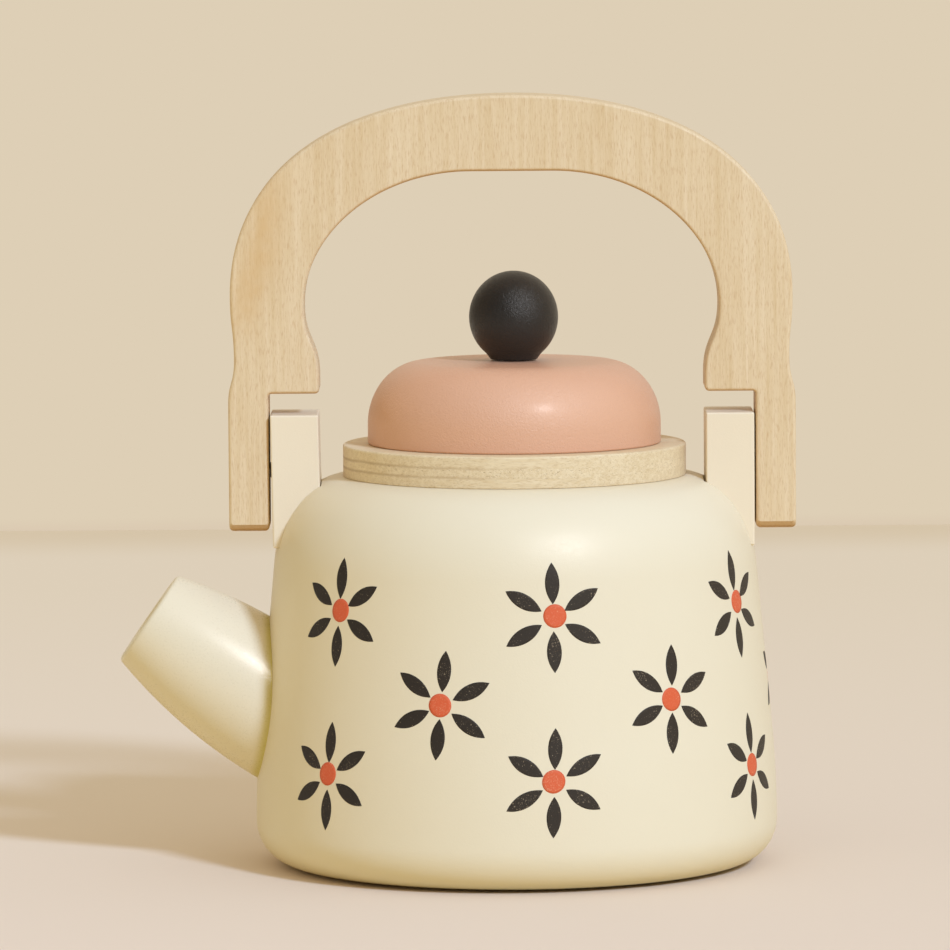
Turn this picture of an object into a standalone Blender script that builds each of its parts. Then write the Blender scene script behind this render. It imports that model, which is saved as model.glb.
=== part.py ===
"""Wooden toy kettle: turned body and spout, swinging board handle and lift-off lid.

Lengths are in metres and +Z is up. The origin is the centre of the flat base.
The spout points to -X and the handle swings about an axis along X.
"""
import math

import bmesh
import bpy
from mathutils import Vector
from mathutils.geometry import interpolate_bezier

# Clearances
SEAT_GAP = 0.0003
PLUG_CLEARANCE = 0.0008
PIVOT_GAP = 0.0005
CUT_MARGIN = 0.002

# Body
BODY_HEIGHT = 0.0873
BODY_BELLY_RADIUS = 0.05865
BODY_NECK_RADIUS = 0.05415
BODY_TOP_RADIUS = 0.0380
BASE_FILLET = 0.010
BELLY_CORNER_HEIGHT = 0.020
SHOULDER_HEIGHT = 0.0190
CAVITY_RADIUS = 0.030
CAVITY_FLOOR = 0.012
CAVITY_FILLET = 0.006
MOUTH_CHAMFER = 0.001

# Spout
SPOUT_TILT = math.radians(35.0)
SPOUT_ROOT_HEIGHT = 0.0378
SPOUT_LENGTH = 0.0313
SPOUT_TIP_RADIUS = 0.0114
SPOUT_BELLY_RADIUS = 0.0162
SPOUT_BELLY_DISTANCE = 0.033
SPOUT_LIP_ROUND = 0.0010
SPOUT_BORE_RADIUS = 0.0055
SPOUT_BORE_DEPTH = 0.013

# Dowels
DOWEL_RADIUS = 0.0025
DOWEL_LENGTH = 0.020
SPOUT_DOWEL_RADIUS = 0.004
SPOUT_DOWEL_LENGTH = 0.022

# Handle brackets
BRACKET_WIDTH = 0.0108
BRACKET_DEPTH = 0.0176
BRACKET_HEIGHT = 0.0298
BRACKET_ROUND = 0.0010
BRACKET_PROUD = 0.0001
NOTCH_DEPTH = 0.0156

# Handle board, with rises measured up from the pivot axis
PIVOT_BELOW_BRACKET_TOP = 0.0129
HANDLE_THICKNESS = 0.0145
HANDLE_EDGE_ROUND = 0.0014
ARCH_RISE = 0.0841
ARCH_TOP_WIDTH = 0.0170
ARCH_SIDE_WIDTH = 0.0165
ARCH_WIDEST_RISE = 0.0393
ARCH_INNER_WIDEST_RISE = 0.0369
ARCH_INNER_FLAT = 0.0092
ARCH_TUCK = 0.0006
WAIST_RISE = 0.0251
WAIST_TUCK = 0.0014
LEG_WIDTH = 0.00885
LEG_TOP_RISE = 0.0151
LEG_DROP = 0.0132
LEG_CORNER_ROUND = 0.0010
STEP_RISE = 0.0176
STEP_LEDGE = 0.0114
STEP_CORNER_ROUND = 0.0016
STEP_FILLET = 0.0016
LOBE_RISE = 0.0211

# Pivot screws and washers
PIVOT_SCREW_RADIUS = 0.00175
PIVOT_SCREW_GRIP = 0.0085
PIVOT_HEAD_RADIUS = 0.0038
PIVOT_HEAD_HEIGHT = 0.0024
PIVOT_HEAD_RECESS = 0.0006
WASHER_RADIUS = 0.0045
WASHER_THICKNESS = 0.0008

# Lid
FLANGE_RADIUS = 0.0385
FLANGE_THICKNESS = 0.0071
FLANGE_EDGE_ROUND = 0.0005
DOME_RADIUS = 0.0329
DOME_HEIGHT = 0.0182
DOME_TOP_RADIUS = 0.0208
DOME_CROWN = 0.0001
DOME_SHOULDER_HEIGHT = 0.0140
DOME_FOOT_ROUND = 0.0010
PLUG_THICKNESS = 0.008
PLUG_EDGE_ROUND = 0.001
KNOB_RADIUS = 0.0100
KNOB_HALF_HEIGHT = 0.01035
KNOB_FLAT_RADIUS = 0.004
KNOB_SCREW_RADIUS = 0.00175
KNOB_SCREW_GRIP = 0.011
KNOB_SCREW_HEAD_RADIUS = 0.0038
KNOB_SCREW_HEAD_HEIGHT = 0.0024
KNOB_SCREW_RECESS = 0.0006

# Facets round each turned piece, and along its curves
BODY_STEPS = 64
LID_STEPS = 48
SPOUT_STEPS = 36
PIN_STEPS = 20
CURVE_POINTS = 7
ARCH_CURVE_POINTS = 15

# How far a curve leans to its corner, at its start and at its end
ARC_FULLNESS = (0.5523, 0.5523)
ARCH_OUTER_FULLNESS = (0.59, 0.66)

# Heights and reaches that follow from the sizes above
NECK_HEIGHT = BODY_HEIGHT - SHOULDER_HEIGHT
BRACKET_OUTER = BODY_NECK_RADIUS + BRACKET_PROUD
BRACKET_INNER = BRACKET_OUTER - BRACKET_WIDTH
NOTCH_FLOOR = BODY_HEIGHT - NOTCH_DEPTH
BRACKET_BOTTOM = NOTCH_FLOOR + SEAT_GAP
BRACKET_TOP = BRACKET_BOTTOM + BRACKET_HEIGHT
PIVOT_HEIGHT = BRACKET_TOP - PIVOT_BELOW_BRACKET_TOP
LEG_INNER = BRACKET_OUTER + PIVOT_GAP
LEG_OUTER = LEG_INNER + LEG_WIDTH
FLANGE_BOTTOM = BODY_HEIGHT + SEAT_GAP
FLANGE_TOP = FLANGE_BOTTOM + FLANGE_THICKNESS
DOME_BOTTOM = FLANGE_TOP + SEAT_GAP
DOME_TOP = DOME_BOTTOM + DOME_HEIGHT
PLUG_TOP = FLANGE_BOTTOM - SEAT_GAP
PLUG_BOTTOM = PLUG_TOP - PLUG_THICKNESS
KNOB_BOTTOM = DOME_TOP + SEAT_GAP

SIDES = {"left": -1.0, "right": 1.0}

# Colours as sRGB, with roughness and metallic value
FINISHES = {
    "cream_paint": ((0.92, 0.89, 0.79), 0.38, 0.0),
    "pink_paint": ((0.87, 0.66, 0.55), 0.30, 0.0),
    "black_paint": ((0.16, 0.14, 0.14), 0.32, 0.0),
    "board_wood": ((0.87, 0.77, 0.61), 0.55, 0.0),
    "plywood": ((0.84, 0.75, 0.58), 0.60, 0.0),
    "dowel_wood": ((0.80, 0.68, 0.50), 0.65, 0.0),
    "screw_steel": ((0.72, 0.72, 0.70), 0.30, 1.0),
}


def clear_scene():
    for item in list(bpy.data.objects):
        bpy.data.objects.remove(item, do_unlink=True)


def new_collection(name):
    collection = bpy.data.collections.new(name)
    bpy.context.scene.collection.children.link(collection)
    return collection


def to_linear(value):
    return value / 12.92 if value <= 0.04045 else ((value + 0.055) / 1.055) ** 2.4


def finish_material(node_name, finish):
    """A material of its own for one piece, in one of the finishes."""
    colour, roughness, metallic = FINISHES[finish]
    material = bpy.data.materials.new(node_name + "_" + finish)
    material.use_nodes = True
    shader = material.node_tree.nodes["Principled BSDF"]
    shader.inputs["Base Color"].default_value = [to_linear(c) for c in colour] + [1.0]
    shader.inputs["Roughness"].default_value = roughness
    shader.inputs["Metallic"].default_value = metallic
    return material


def add_piece(name, mesh, finish, parent=None):
    """Put a mesh in the kettle's collection as a named piece."""
    piece = bpy.data.objects.new(name, mesh)
    PIECES.objects.link(piece)
    mesh.materials.clear()
    mesh.materials.append(finish_material(name, finish))
    piece.parent = parent
    return piece


def add_cutter(name, mesh):
    """A shape that only cuts others."""
    cutter = bpy.data.objects.new(name, mesh)
    CUTTERS.objects.link(cutter)
    cutter.hide_render = True
    cutter.display_type = "WIRE"
    return cutter


def add_axis(name, height):
    """An empty on the body's axis that carries the pieces of one moving body."""
    axis = bpy.data.objects.new(name, None)
    PIECES.objects.link(axis)
    axis.location = (0.0, 0.0, height)
    return axis


def cut(piece, *cutters):
    for cutter in cutters:
        boolean = piece.modifiers.new(cutter.name, "BOOLEAN")
        boolean.operation = "DIFFERENCE"
        boolean.solver = "EXACT"
        boolean.object = cutter


def bend(start, corner, end, count=CURVE_POINTS, fullness=ARC_FULLNESS):
    """Points of a round stretch from start to end whose tangents meet at corner."""
    start, corner, end = Vector(start), Vector(corner), Vector(end)
    leave = start.lerp(corner, fullness[0])
    arrive = end.lerp(corner, fullness[1])
    return [tuple(p) for p in interpolate_bezier(start, leave, arrive, end, count)]


def sway(start, end, count=CURVE_POINTS):
    """Points of a gentle S from start to end, upright at both ends."""
    start, end = Vector(start), Vector(end)
    middle = 0.5 * (start.y + end.y)
    leave, arrive = Vector((start.x, middle)), Vector((end.x, middle))
    return [tuple(p) for p in interpolate_bezier(start, leave, arrive, end, count)]


def profile_mesh(name, profile, closed):
    """A line of (radius, height) points in the XZ plane."""
    points = [(radius, 0.0, height) for radius, height in profile]
    edges = [(i, i + 1) for i in range(len(points) - 1)]
    if closed:
        edges.append((len(points) - 1, 0))
    mesh = bpy.data.meshes.new(name)
    mesh.from_pydata(points, edges, [])
    return mesh


def turn(item, steps):
    """Turn a profile about its own Z axis, as on a lathe."""
    screw = item.modifiers.new("lathe", "SCREW")
    screw.axis = "Z"
    screw.angle = math.tau
    screw.steps = steps
    screw.render_steps = steps
    screw.use_merge_vertices = True
    screw.merge_threshold = 0.00001
    screw.use_smooth_shade = True


def turned_piece(name, profile, finish, steps, parent=None, closed=False):
    piece = add_piece(name, profile_mesh(name, profile, closed), finish, parent)
    turn(piece, steps)
    return piece


def turned_cutter(name, profile, steps):
    cutter = add_cutter(name, profile_mesh(name, profile, False))
    turn(cutter, steps)
    return cutter


def rod_mesh(name, radius, length):
    """A cylinder along Z with its middle at the origin."""
    shape = bmesh.new()
    bmesh.ops.create_cone(
        shape, cap_ends=True, segments=PIN_STEPS, radius1=radius, radius2=radius, depth=length)
    mesh = bpy.data.meshes.new(name)
    shape.to_mesh(mesh)
    shape.free()
    mesh.shade_smooth()
    mesh.set_sharp_from_angle(angle=math.radians(40.0))
    return mesh


def box_mesh(name, size):
    """A box with its middle at the origin."""
    shape = bmesh.new()
    bmesh.ops.create_cube(shape, size=1.0)
    bmesh.ops.scale(shape, vec=size, verts=shape.verts)
    mesh = bpy.data.meshes.new(name)
    shape.to_mesh(mesh)
    shape.free()
    return mesh


def round_edges(piece, width, segments):
    bevel = piece.modifiers.new("eased_edges", "BEVEL")
    bevel.width = width
    bevel.segments = segments
    bevel.limit_method = "ANGLE"
    bevel.angle_limit = math.radians(40.0)


def side_radius(height):
    """Radius of the body's straight tapered side at a height."""
    share = (height - BELLY_CORNER_HEIGHT) / (NECK_HEIGHT - BELLY_CORNER_HEIGHT)
    return BODY_BELLY_RADIUS + share * (BODY_NECK_RADIUS - BODY_BELLY_RADIUS)


def body_outside(grow=0.0):
    """The body's outer side from the edge of its flat top down to the middle of its base."""
    taper_start = 2.0 * BELLY_CORNER_HEIGHT - BASE_FILLET
    shoulder = bend(
        (BODY_TOP_RADIUS, BODY_HEIGHT),
        (side_radius(BODY_HEIGHT), BODY_HEIGHT),
        (BODY_NECK_RADIUS, NECK_HEIGHT), count=9)
    belly = bend(
        (side_radius(taper_start), taper_start),
        (BODY_BELLY_RADIUS, BELLY_CORNER_HEIGHT),
        (BODY_BELLY_RADIUS, BASE_FILLET), count=5)
    foot = bend(
        (BODY_BELLY_RADIUS, BASE_FILLET),
        (BODY_BELLY_RADIUS, 0.0),
        (BODY_BELLY_RADIUS - BASE_FILLET, 0.0))
    outside = [(radius + grow, height) for radius, height in shoulder + belly + foot[1:]]
    return outside + [(0.0, 0.0)]


def build_body():
    cavity = [(0.0, CAVITY_FLOOR)] + bend(
        (CAVITY_RADIUS - CAVITY_FILLET, CAVITY_FLOOR),
        (CAVITY_RADIUS, CAVITY_FLOOR),
        (CAVITY_RADIUS, CAVITY_FLOOR + CAVITY_FILLET), count=5)
    mouth = [
        (CAVITY_RADIUS, BODY_HEIGHT - MOUTH_CHAMFER),
        (CAVITY_RADIUS + MOUTH_CHAMFER, BODY_HEIGHT),
    ]
    return turned_piece("kettle_body", cavity + mouth + body_outside(), "cream_paint", BODY_STEPS)


def spout_radius(distance):
    """Radius of the spout's bulged side at a distance from its tip."""
    drop = SPOUT_BELLY_RADIUS - SPOUT_TIP_RADIUS
    arc = (SPOUT_BELLY_DISTANCE ** 2 + drop ** 2) / (2.0 * drop)
    return SPOUT_BELLY_RADIUS - arc + math.sqrt(arc ** 2 - (distance - SPOUT_BELLY_DISTANCE) ** 2)


def build_spout(body):
    """The spout lies along its own Z axis, tip up, with its origin where it meets the body."""
    root_radius = side_radius(SPOUT_ROOT_HEIGHT)
    side_sag = root_radius - math.sqrt(root_radius ** 2 - SPOUT_BELLY_RADIUS ** 2)
    root_depth = SPOUT_BELLY_RADIUS * math.tan(SPOUT_TILT) + side_sag + CUT_MARGIN
    length = SPOUT_LENGTH + root_depth
    count = 9
    distances = [SPOUT_LIP_ROUND + (length - SPOUT_LIP_ROUND) * i / (count - 1) for i in range(count)]
    bore = [
        (0.0, SPOUT_LENGTH - SPOUT_BORE_DEPTH),
        (SPOUT_BORE_RADIUS, SPOUT_LENGTH - SPOUT_BORE_DEPTH),
        (SPOUT_BORE_RADIUS, SPOUT_LENGTH - SPOUT_LIP_ROUND),
        (SPOUT_BORE_RADIUS + SPOUT_LIP_ROUND, SPOUT_LENGTH),
    ]
    lip = bend(
        (SPOUT_TIP_RADIUS - SPOUT_LIP_ROUND, SPOUT_LENGTH),
        (SPOUT_TIP_RADIUS, SPOUT_LENGTH),
        (spout_radius(SPOUT_LIP_ROUND), SPOUT_LENGTH - SPOUT_LIP_ROUND), count=4)
    side = [(spout_radius(d), SPOUT_LENGTH - d) for d in distances[1:]]
    profile = bore + lip + side + [(0.0, SPOUT_LENGTH - length)]
    root = Vector((-root_radius, 0.0, SPOUT_ROOT_HEIGHT))
    lean = (0.0, SPOUT_TILT - math.radians(90.0), 0.0)

    spout = turned_piece("spout", profile, "cream_paint", SPOUT_STEPS)
    dowel = add_piece(
        "spout_dowel", rod_mesh("spout_dowel", SPOUT_DOWEL_RADIUS, SPOUT_DOWEL_LENGTH), "dowel_wood")
    bore_cutter = add_cutter("spout_dowel_bore", rod_mesh(
        "spout_dowel_bore", SPOUT_DOWEL_RADIUS + SEAT_GAP, SPOUT_DOWEL_LENGTH + 2.0 * SEAT_GAP))
    for item in (spout, dowel, bore_cutter):
        item.location = root
        item.rotation_euler = lean
    top = [(0.0, BODY_HEIGHT)]
    cope = turned_cutter("spout_cope", top + body_outside(SEAT_GAP), BODY_STEPS)
    cut(spout, cope, bore_cutter)
    cut(body, bore_cutter)


def build_bracket(side, sign, body):
    """A block let into a notch of the shoulder and held by two dowels."""
    middle = sign * (BRACKET_OUTER - 0.5 * BRACKET_WIDTH)
    size = (BRACKET_WIDTH, BRACKET_DEPTH, BRACKET_HEIGHT)
    bracket = add_piece(side + "_bracket", box_mesh(side + "_bracket", size), "cream_paint")
    bracket.location = (middle, 0.0, 0.5 * (BRACKET_BOTTOM + BRACKET_TOP))
    round_edges(bracket, BRACKET_ROUND, 3)
    bracket.data.shade_smooth()

    notch_width = BRACKET_WIDTH + BODY_BELLY_RADIUS - BRACKET_OUTER + SEAT_GAP + CUT_MARGIN
    notch_height = NOTCH_DEPTH + CUT_MARGIN
    notch_size = (notch_width, BRACKET_DEPTH + 2.0 * SEAT_GAP, notch_height)
    notch = add_cutter(side + "_notch", box_mesh(side + "_notch", notch_size))
    notch.location = (
        sign * (BRACKET_INNER - SEAT_GAP + 0.5 * notch_width), 0.0, NOTCH_FLOOR + 0.5 * notch_height)
    cut(body, notch)

    for place, share in (("front", -0.25), ("back", 0.25)):
        name = "{}_bracket_{}_dowel".format(side, place)
        where = (middle, share * BRACKET_DEPTH, BRACKET_BOTTOM)
        dowel = add_piece(name, rod_mesh(name, DOWEL_RADIUS, DOWEL_LENGTH), "dowel_wood")
        dowel.location = where
        bore = add_cutter(name + "_bore", rod_mesh(
            name + "_bore", DOWEL_RADIUS + SEAT_GAP, DOWEL_LENGTH + 2.0 * SEAT_GAP))
        bore.location = where
        cut(body, bore)
        cut(bracket, bore)
    return bracket


def handle_outline():
    """The board's outline as (across, rise) points, with the rise from the pivot axis."""
    arch_outer = LEG_OUTER - ARCH_TUCK
    arch_inner = arch_outer - ARCH_SIDE_WIDTH
    inner_rise = ARCH_RISE - ARCH_TOP_WIDTH
    waist = (LEG_OUTER - WAIST_TUCK, WAIST_RISE)
    lobe = LEG_INNER - STEP_LEDGE
    corner = LEG_CORNER_ROUND
    right = bend(
        (0.0, ARCH_RISE), (arch_outer, ARCH_RISE), (arch_outer, ARCH_WIDEST_RISE),
        count=ARCH_CURVE_POINTS, fullness=ARCH_OUTER_FULLNESS)
    right += sway((arch_outer, ARCH_WIDEST_RISE), waist)[1:]
    right += sway(waist, (LEG_OUTER, LEG_TOP_RISE))[1:]
    right += bend(
        (LEG_OUTER, corner - LEG_DROP), (LEG_OUTER, -LEG_DROP), (LEG_OUTER - corner, -LEG_DROP), count=5)
    right += bend(
        (LEG_INNER + corner, -LEG_DROP), (LEG_INNER, -LEG_DROP), (LEG_INNER, corner - LEG_DROP), count=5)
    right += bend(
        (LEG_INNER, STEP_RISE - STEP_FILLET), (LEG_INNER, STEP_RISE),
        (LEG_INNER - STEP_FILLET, STEP_RISE), count=5)
    right += bend(
        (lobe + STEP_CORNER_ROUND, STEP_RISE), (lobe, STEP_RISE),
        (lobe, STEP_RISE + STEP_CORNER_ROUND), count=5)
    right += sway((lobe, LOBE_RISE), (arch_inner, ARCH_INNER_WIDEST_RISE))
    right += bend(
        (arch_inner, ARCH_INNER_WIDEST_RISE), (arch_inner, inner_rise), (ARCH_INNER_FLAT, inner_rise),
        count=ARCH_CURVE_POINTS)[1:]
    right.append((0.0, inner_rise))
    left = [(-across, rise) for across, rise in reversed(right[1:-1])]
    return right + left


def board_mesh(name, outline, thickness, splits):
    """A flat outline filled and given its thickness, as one closed mesh in the XY plane.

    The large faces are split where the given planes (point, normal) cross them.
    """
    curve = bpy.data.curves.new(name, "CURVE")
    curve.dimensions = "2D"
    curve.fill_mode = "BOTH"
    curve.extrude = 0.5 * thickness
    spline = curve.splines.new("POLY")
    spline.points.add(len(outline) - 1)
    for point, (across, rise) in zip(spline.points, outline):
        point.co = (across, rise, 0.0, 1.0)
    spline.use_cyclic_u = True
    guide = bpy.data.objects.new(name + "_outline", curve)
    CUTTERS.objects.link(guide)
    depsgraph = bpy.context.evaluated_depsgraph_get()
    mesh = bpy.data.meshes.new_from_object(guide.evaluated_get(depsgraph))
    mesh.name = name
    bpy.data.objects.remove(guide, do_unlink=True)

    shape = bmesh.new()
    shape.from_mesh(mesh)
    bmesh.ops.remove_doubles(shape, verts=shape.verts, dist=0.00001)
    bmesh.ops.dissolve_limit(
        shape, angle_limit=math.radians(0.5), verts=shape.verts, edges=shape.edges)
    for point, normal in splits:
        everything = shape.verts[:] + shape.edges[:] + shape.faces[:]
        bmesh.ops.bisect_plane(shape, geom=everything, dist=0.00001, plane_co=point, plane_no=normal)
    bmesh.ops.recalc_face_normals(shape, faces=shape.faces)
    shape.to_mesh(mesh)
    shape.free()
    mesh.shade_smooth()
    return mesh


def screw_profile(shank_radius, shank_length, head_radius, head_height):
    """A pan-head screw along Z, head up, with the underside of its head at zero height."""
    head = [(0.0, head_height)] + bend(
        (0.45 * head_radius, head_height),
        (head_radius, head_height),
        (head_radius, 0.25 * head_height), count=5)
    shank = [
        (head_radius, 0.0),
        (shank_radius, 0.0),
        (shank_radius, shank_radius - shank_length),
        (0.3 * shank_radius, -shank_length),
        (0.0, -shank_length),
    ]
    return head + shank


def build_handle(brackets):
    """The board swings on two screws, whose heads lie in counterbores of its legs."""
    pivot = add_axis("handle_pivot", PIVOT_HEIGHT)
    splits = [((0.0, 0.0, 0.0), (1.0, 0.0, 0.0))]
    splits += [((0.0, rise, 0.0), (0.0, 1.0, 0.0)) for rise in (LOBE_RISE, ARCH_WIDEST_RISE)]
    board = board_mesh("handle", handle_outline(), HANDLE_THICKNESS, splits)
    handle = add_piece("handle", board, "board_wood", pivot)
    handle.rotation_euler = (math.radians(90.0), 0.0, 0.0)
    round_edges(handle, HANDLE_EDGE_ROUND, 3)

    head_depth = PIVOT_HEAD_RECESS + PIVOT_HEAD_HEIGHT
    washer_depth = head_depth + SEAT_GAP + WASHER_THICKNESS
    counterbore_depth = washer_depth + SEAT_GAP
    shank_length = LEG_WIDTH - head_depth + PIVOT_GAP + PIVOT_SCREW_GRIP
    profile = screw_profile(PIVOT_SCREW_RADIUS, shank_length, PIVOT_HEAD_RADIUS, PIVOT_HEAD_HEIGHT)
    hole = PIVOT_SCREW_RADIUS + SEAT_GAP
    for side, sign in SIDES.items():
        outward = (0.0, sign * math.radians(90.0), 0.0)

        screw = turned_piece(side + "_pivot_screw", profile, "screw_steel", PIN_STEPS)
        screw.location = (sign * (LEG_OUTER - head_depth), 0.0, PIVOT_HEIGHT)
        screw.rotation_euler = outward

        ring = [
            (hole, WASHER_THICKNESS), (WASHER_RADIUS, WASHER_THICKNESS), (WASHER_RADIUS, 0.0), (hole, 0.0)]
        washer = turned_piece(side + "_pivot_washer", ring, "screw_steel", PIN_STEPS, closed=True)
        washer.location = (sign * (LEG_OUTER - washer_depth), 0.0, PIVOT_HEIGHT)
        washer.rotation_euler = outward

        reach = shank_length + SEAT_GAP
        bore = add_cutter(side + "_pivot_bore", rod_mesh(side + "_pivot_bore", hole, reach))
        bore.location = (sign * (LEG_OUTER - head_depth - 0.5 * reach), 0.0, PIVOT_HEIGHT)
        bore.rotation_euler = outward

        sink_length = counterbore_depth + CUT_MARGIN
        sink = add_cutter(
            side + "_counterbore",
            rod_mesh(side + "_counterbore", WASHER_RADIUS + SEAT_GAP, sink_length))
        sink.location = (sign * (LEG_OUTER + CUT_MARGIN - 0.5 * sink_length), 0.0, PIVOT_HEIGHT)
        sink.rotation_euler = outward

        cut(handle, bore, sink)
        cut(brackets[side], bore)


def build_lid():
    """Plug, plywood flange, dome and ball, drawn together by one screw from below."""
    lid = add_axis("lid_seat", FLANGE_BOTTOM)
    hole = KNOB_SCREW_RADIUS + SEAT_GAP

    def lid_piece(name, profile, finish, closed=True):
        on_lid = [(radius, height - FLANGE_BOTTOM) for radius, height in profile]
        return turned_piece(name, on_lid, finish, LID_STEPS, lid, closed)

    ease = FLANGE_EDGE_ROUND
    lid_piece("lid_flange", [
        (hole, FLANGE_TOP), (FLANGE_RADIUS - ease, FLANGE_TOP), (FLANGE_RADIUS, FLANGE_TOP - ease),
        (FLANGE_RADIUS, FLANGE_BOTTOM + ease), (FLANGE_RADIUS - ease, FLANGE_BOTTOM),
        (hole, FLANGE_BOTTOM)], "plywood")

    crown_slope = 2.0 * DOME_CROWN / DOME_TOP_RADIUS
    crown_edge = DOME_TOP - DOME_CROWN
    crown = bend(
        (hole, DOME_TOP), (0.5 * DOME_TOP_RADIUS, DOME_TOP), (DOME_TOP_RADIUS, crown_edge), count=4)
    crown += bend(
        (DOME_TOP_RADIUS, crown_edge),
        (DOME_RADIUS, crown_edge - crown_slope * (DOME_RADIUS - DOME_TOP_RADIUS)),
        (DOME_RADIUS, crown_edge - DOME_SHOULDER_HEIGHT), count=9)[1:]
    foot = bend(
        (DOME_RADIUS, DOME_BOTTOM + DOME_FOOT_ROUND),
        (DOME_RADIUS, DOME_BOTTOM),
        (DOME_RADIUS - DOME_FOOT_ROUND, DOME_BOTTOM), count=4)
    lid_piece("lid_dome", crown + foot + [(hole, DOME_BOTTOM)], "pink_paint")

    plug_radius = CAVITY_RADIUS - PLUG_CLEARANCE
    recess = KNOB_SCREW_RECESS + KNOB_SCREW_HEAD_HEIGHT + SEAT_GAP
    recess_radius = KNOB_SCREW_HEAD_RADIUS + SEAT_GAP
    rim = bend(
        (plug_radius, PLUG_BOTTOM + PLUG_EDGE_ROUND),
        (plug_radius, PLUG_BOTTOM),
        (plug_radius - PLUG_EDGE_ROUND, PLUG_BOTTOM), count=4)
    lid_piece(
        "lid_plug",
        [(hole, PLUG_TOP), (plug_radius, PLUG_TOP)] + rim + [
            (recess_radius, PLUG_BOTTOM), (recess_radius, PLUG_BOTTOM + recess),
            (hole, PLUG_BOTTOM + recess)],
        "plywood")

    flat_angle = math.acos(KNOB_FLAT_RADIUS / KNOB_RADIUS)
    knob_middle = KNOB_BOTTOM + KNOB_HALF_HEIGHT * math.sin(flat_angle)
    count = 13
    sweep = [0.5 * math.pi - (0.5 * math.pi + flat_angle) * i / (count - 1) for i in range(count)]
    ball = [(KNOB_RADIUS * math.cos(a), knob_middle + KNOB_HALF_HEIGHT * math.sin(a)) for a in sweep]
    ball[0] = (0.0, knob_middle + KNOB_HALF_HEIGHT)
    screw_top = KNOB_BOTTOM + KNOB_SCREW_GRIP
    socket = [(hole, KNOB_BOTTOM), (hole, screw_top + SEAT_GAP), (0.0, screw_top + SEAT_GAP)]
    lid_piece("lid_knob", ball + socket, "black_paint", closed=False)

    head_seat = PLUG_BOTTOM + KNOB_SCREW_RECESS + KNOB_SCREW_HEAD_HEIGHT
    profile = screw_profile(
        KNOB_SCREW_RADIUS, screw_top - head_seat, KNOB_SCREW_HEAD_RADIUS, KNOB_SCREW_HEAD_HEIGHT)
    screw = turned_piece("knob_screw", profile, "screw_steel", PIN_STEPS, lid)
    screw.location = (0.0, 0.0, head_seat - FLANGE_BOTTOM)
    screw.rotation_euler = (math.radians(180.0), 0.0, 0.0)


clear_scene()
PIECES = new_collection("wooden_toy_kettle")
CUTTERS = new_collection("cutters")
body_piece = build_body()
build_spout(body_piece)
bracket_pieces = {side: build_bracket(side, sign, body_piece) for side, sign in SIDES.items()}
build_handle(bracket_pieces)
build_lid()
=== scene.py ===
"""Wooden toy kettle: fine meshes, finishes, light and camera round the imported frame."""
import math
from functools import partialmethod

import bmesh
import bpy
from mathutils import Matrix, Quaternion, Vector
from mathutils.geometry import interpolate_bezier


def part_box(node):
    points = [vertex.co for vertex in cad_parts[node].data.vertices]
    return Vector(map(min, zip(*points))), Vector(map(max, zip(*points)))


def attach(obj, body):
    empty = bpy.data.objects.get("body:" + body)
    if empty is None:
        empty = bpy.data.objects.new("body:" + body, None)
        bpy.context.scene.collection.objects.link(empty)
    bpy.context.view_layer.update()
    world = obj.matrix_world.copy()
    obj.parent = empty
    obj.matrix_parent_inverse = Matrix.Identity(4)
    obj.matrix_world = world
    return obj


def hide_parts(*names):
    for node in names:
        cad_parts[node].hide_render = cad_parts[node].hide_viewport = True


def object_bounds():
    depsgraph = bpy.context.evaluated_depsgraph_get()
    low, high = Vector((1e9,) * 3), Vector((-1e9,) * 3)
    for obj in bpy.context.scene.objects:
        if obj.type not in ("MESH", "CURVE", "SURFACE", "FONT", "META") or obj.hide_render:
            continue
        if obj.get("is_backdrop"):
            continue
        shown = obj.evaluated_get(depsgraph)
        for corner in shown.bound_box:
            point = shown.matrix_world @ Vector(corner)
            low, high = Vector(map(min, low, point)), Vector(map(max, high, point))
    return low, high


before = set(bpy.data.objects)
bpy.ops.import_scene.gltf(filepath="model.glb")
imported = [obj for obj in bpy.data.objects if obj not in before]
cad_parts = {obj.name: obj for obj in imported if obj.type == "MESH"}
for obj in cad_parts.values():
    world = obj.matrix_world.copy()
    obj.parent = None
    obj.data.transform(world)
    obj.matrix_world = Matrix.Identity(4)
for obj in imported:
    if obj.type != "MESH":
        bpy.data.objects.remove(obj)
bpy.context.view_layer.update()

# Lengths in metres, with the sizes of the solids that the boxes of the frame don't give
SEAT_GAP = 0.0003
PAINTED_GAP = 0.00002
NECK_RADIUS = 0.05415
BODY_TOP_RADIUS = 0.038
BASE_FILLET = 0.01
BELLY_CORNER_HEIGHT = 0.02
SHOULDER_HEIGHT = 0.019
SHOULDER_FULLNESS = (0.582, 0.582)
FOOT_RISE = 0.0006
FOOT_REACH = 0.0088
FOOT_INSET = 0.004
CAVITY_RADIUS = 0.03
CAVITY_FLOOR = 0.012
CAVITY_FILLET = 0.006
MOUTH_ROUND = 0.001

SPOUT_TILT = math.radians(35.0)
SPOUT_ROOT_HEIGHT = 0.0378
SPOUT_LENGTH = 0.0313
SPOUT_ROOT_DEPTH = 0.0165
SPOUT_TIP_RADIUS = 0.0114
SPOUT_BELLY_RADIUS = 0.0162
SPOUT_BELLY_DISTANCE = 0.033
SPOUT_LIP_ROUND = 0.0008
SPOUT_BORE_RADIUS = 0.0055
SPOUT_BORE_DEPTH = 0.013
SPOUT_DOWEL_RADIUS = 0.004
SPOUT_DOWEL_LENGTH = 0.022
# Width of the painted shade along the spout's crease with the body
CREASE_SHADE_WIDTH = 0.0024

BRACKET_ROUND = 0.0004
BRACKET_ROUND_STEPS = 6
BRACKET_EDGE_ANGLE = math.radians(40.0)
BRACKET_LEAN = {"left": 0.0167, "right": 0.0}
NOTCH_GAP = 0.0005
DOWEL_RADIUS = 0.0025

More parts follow.
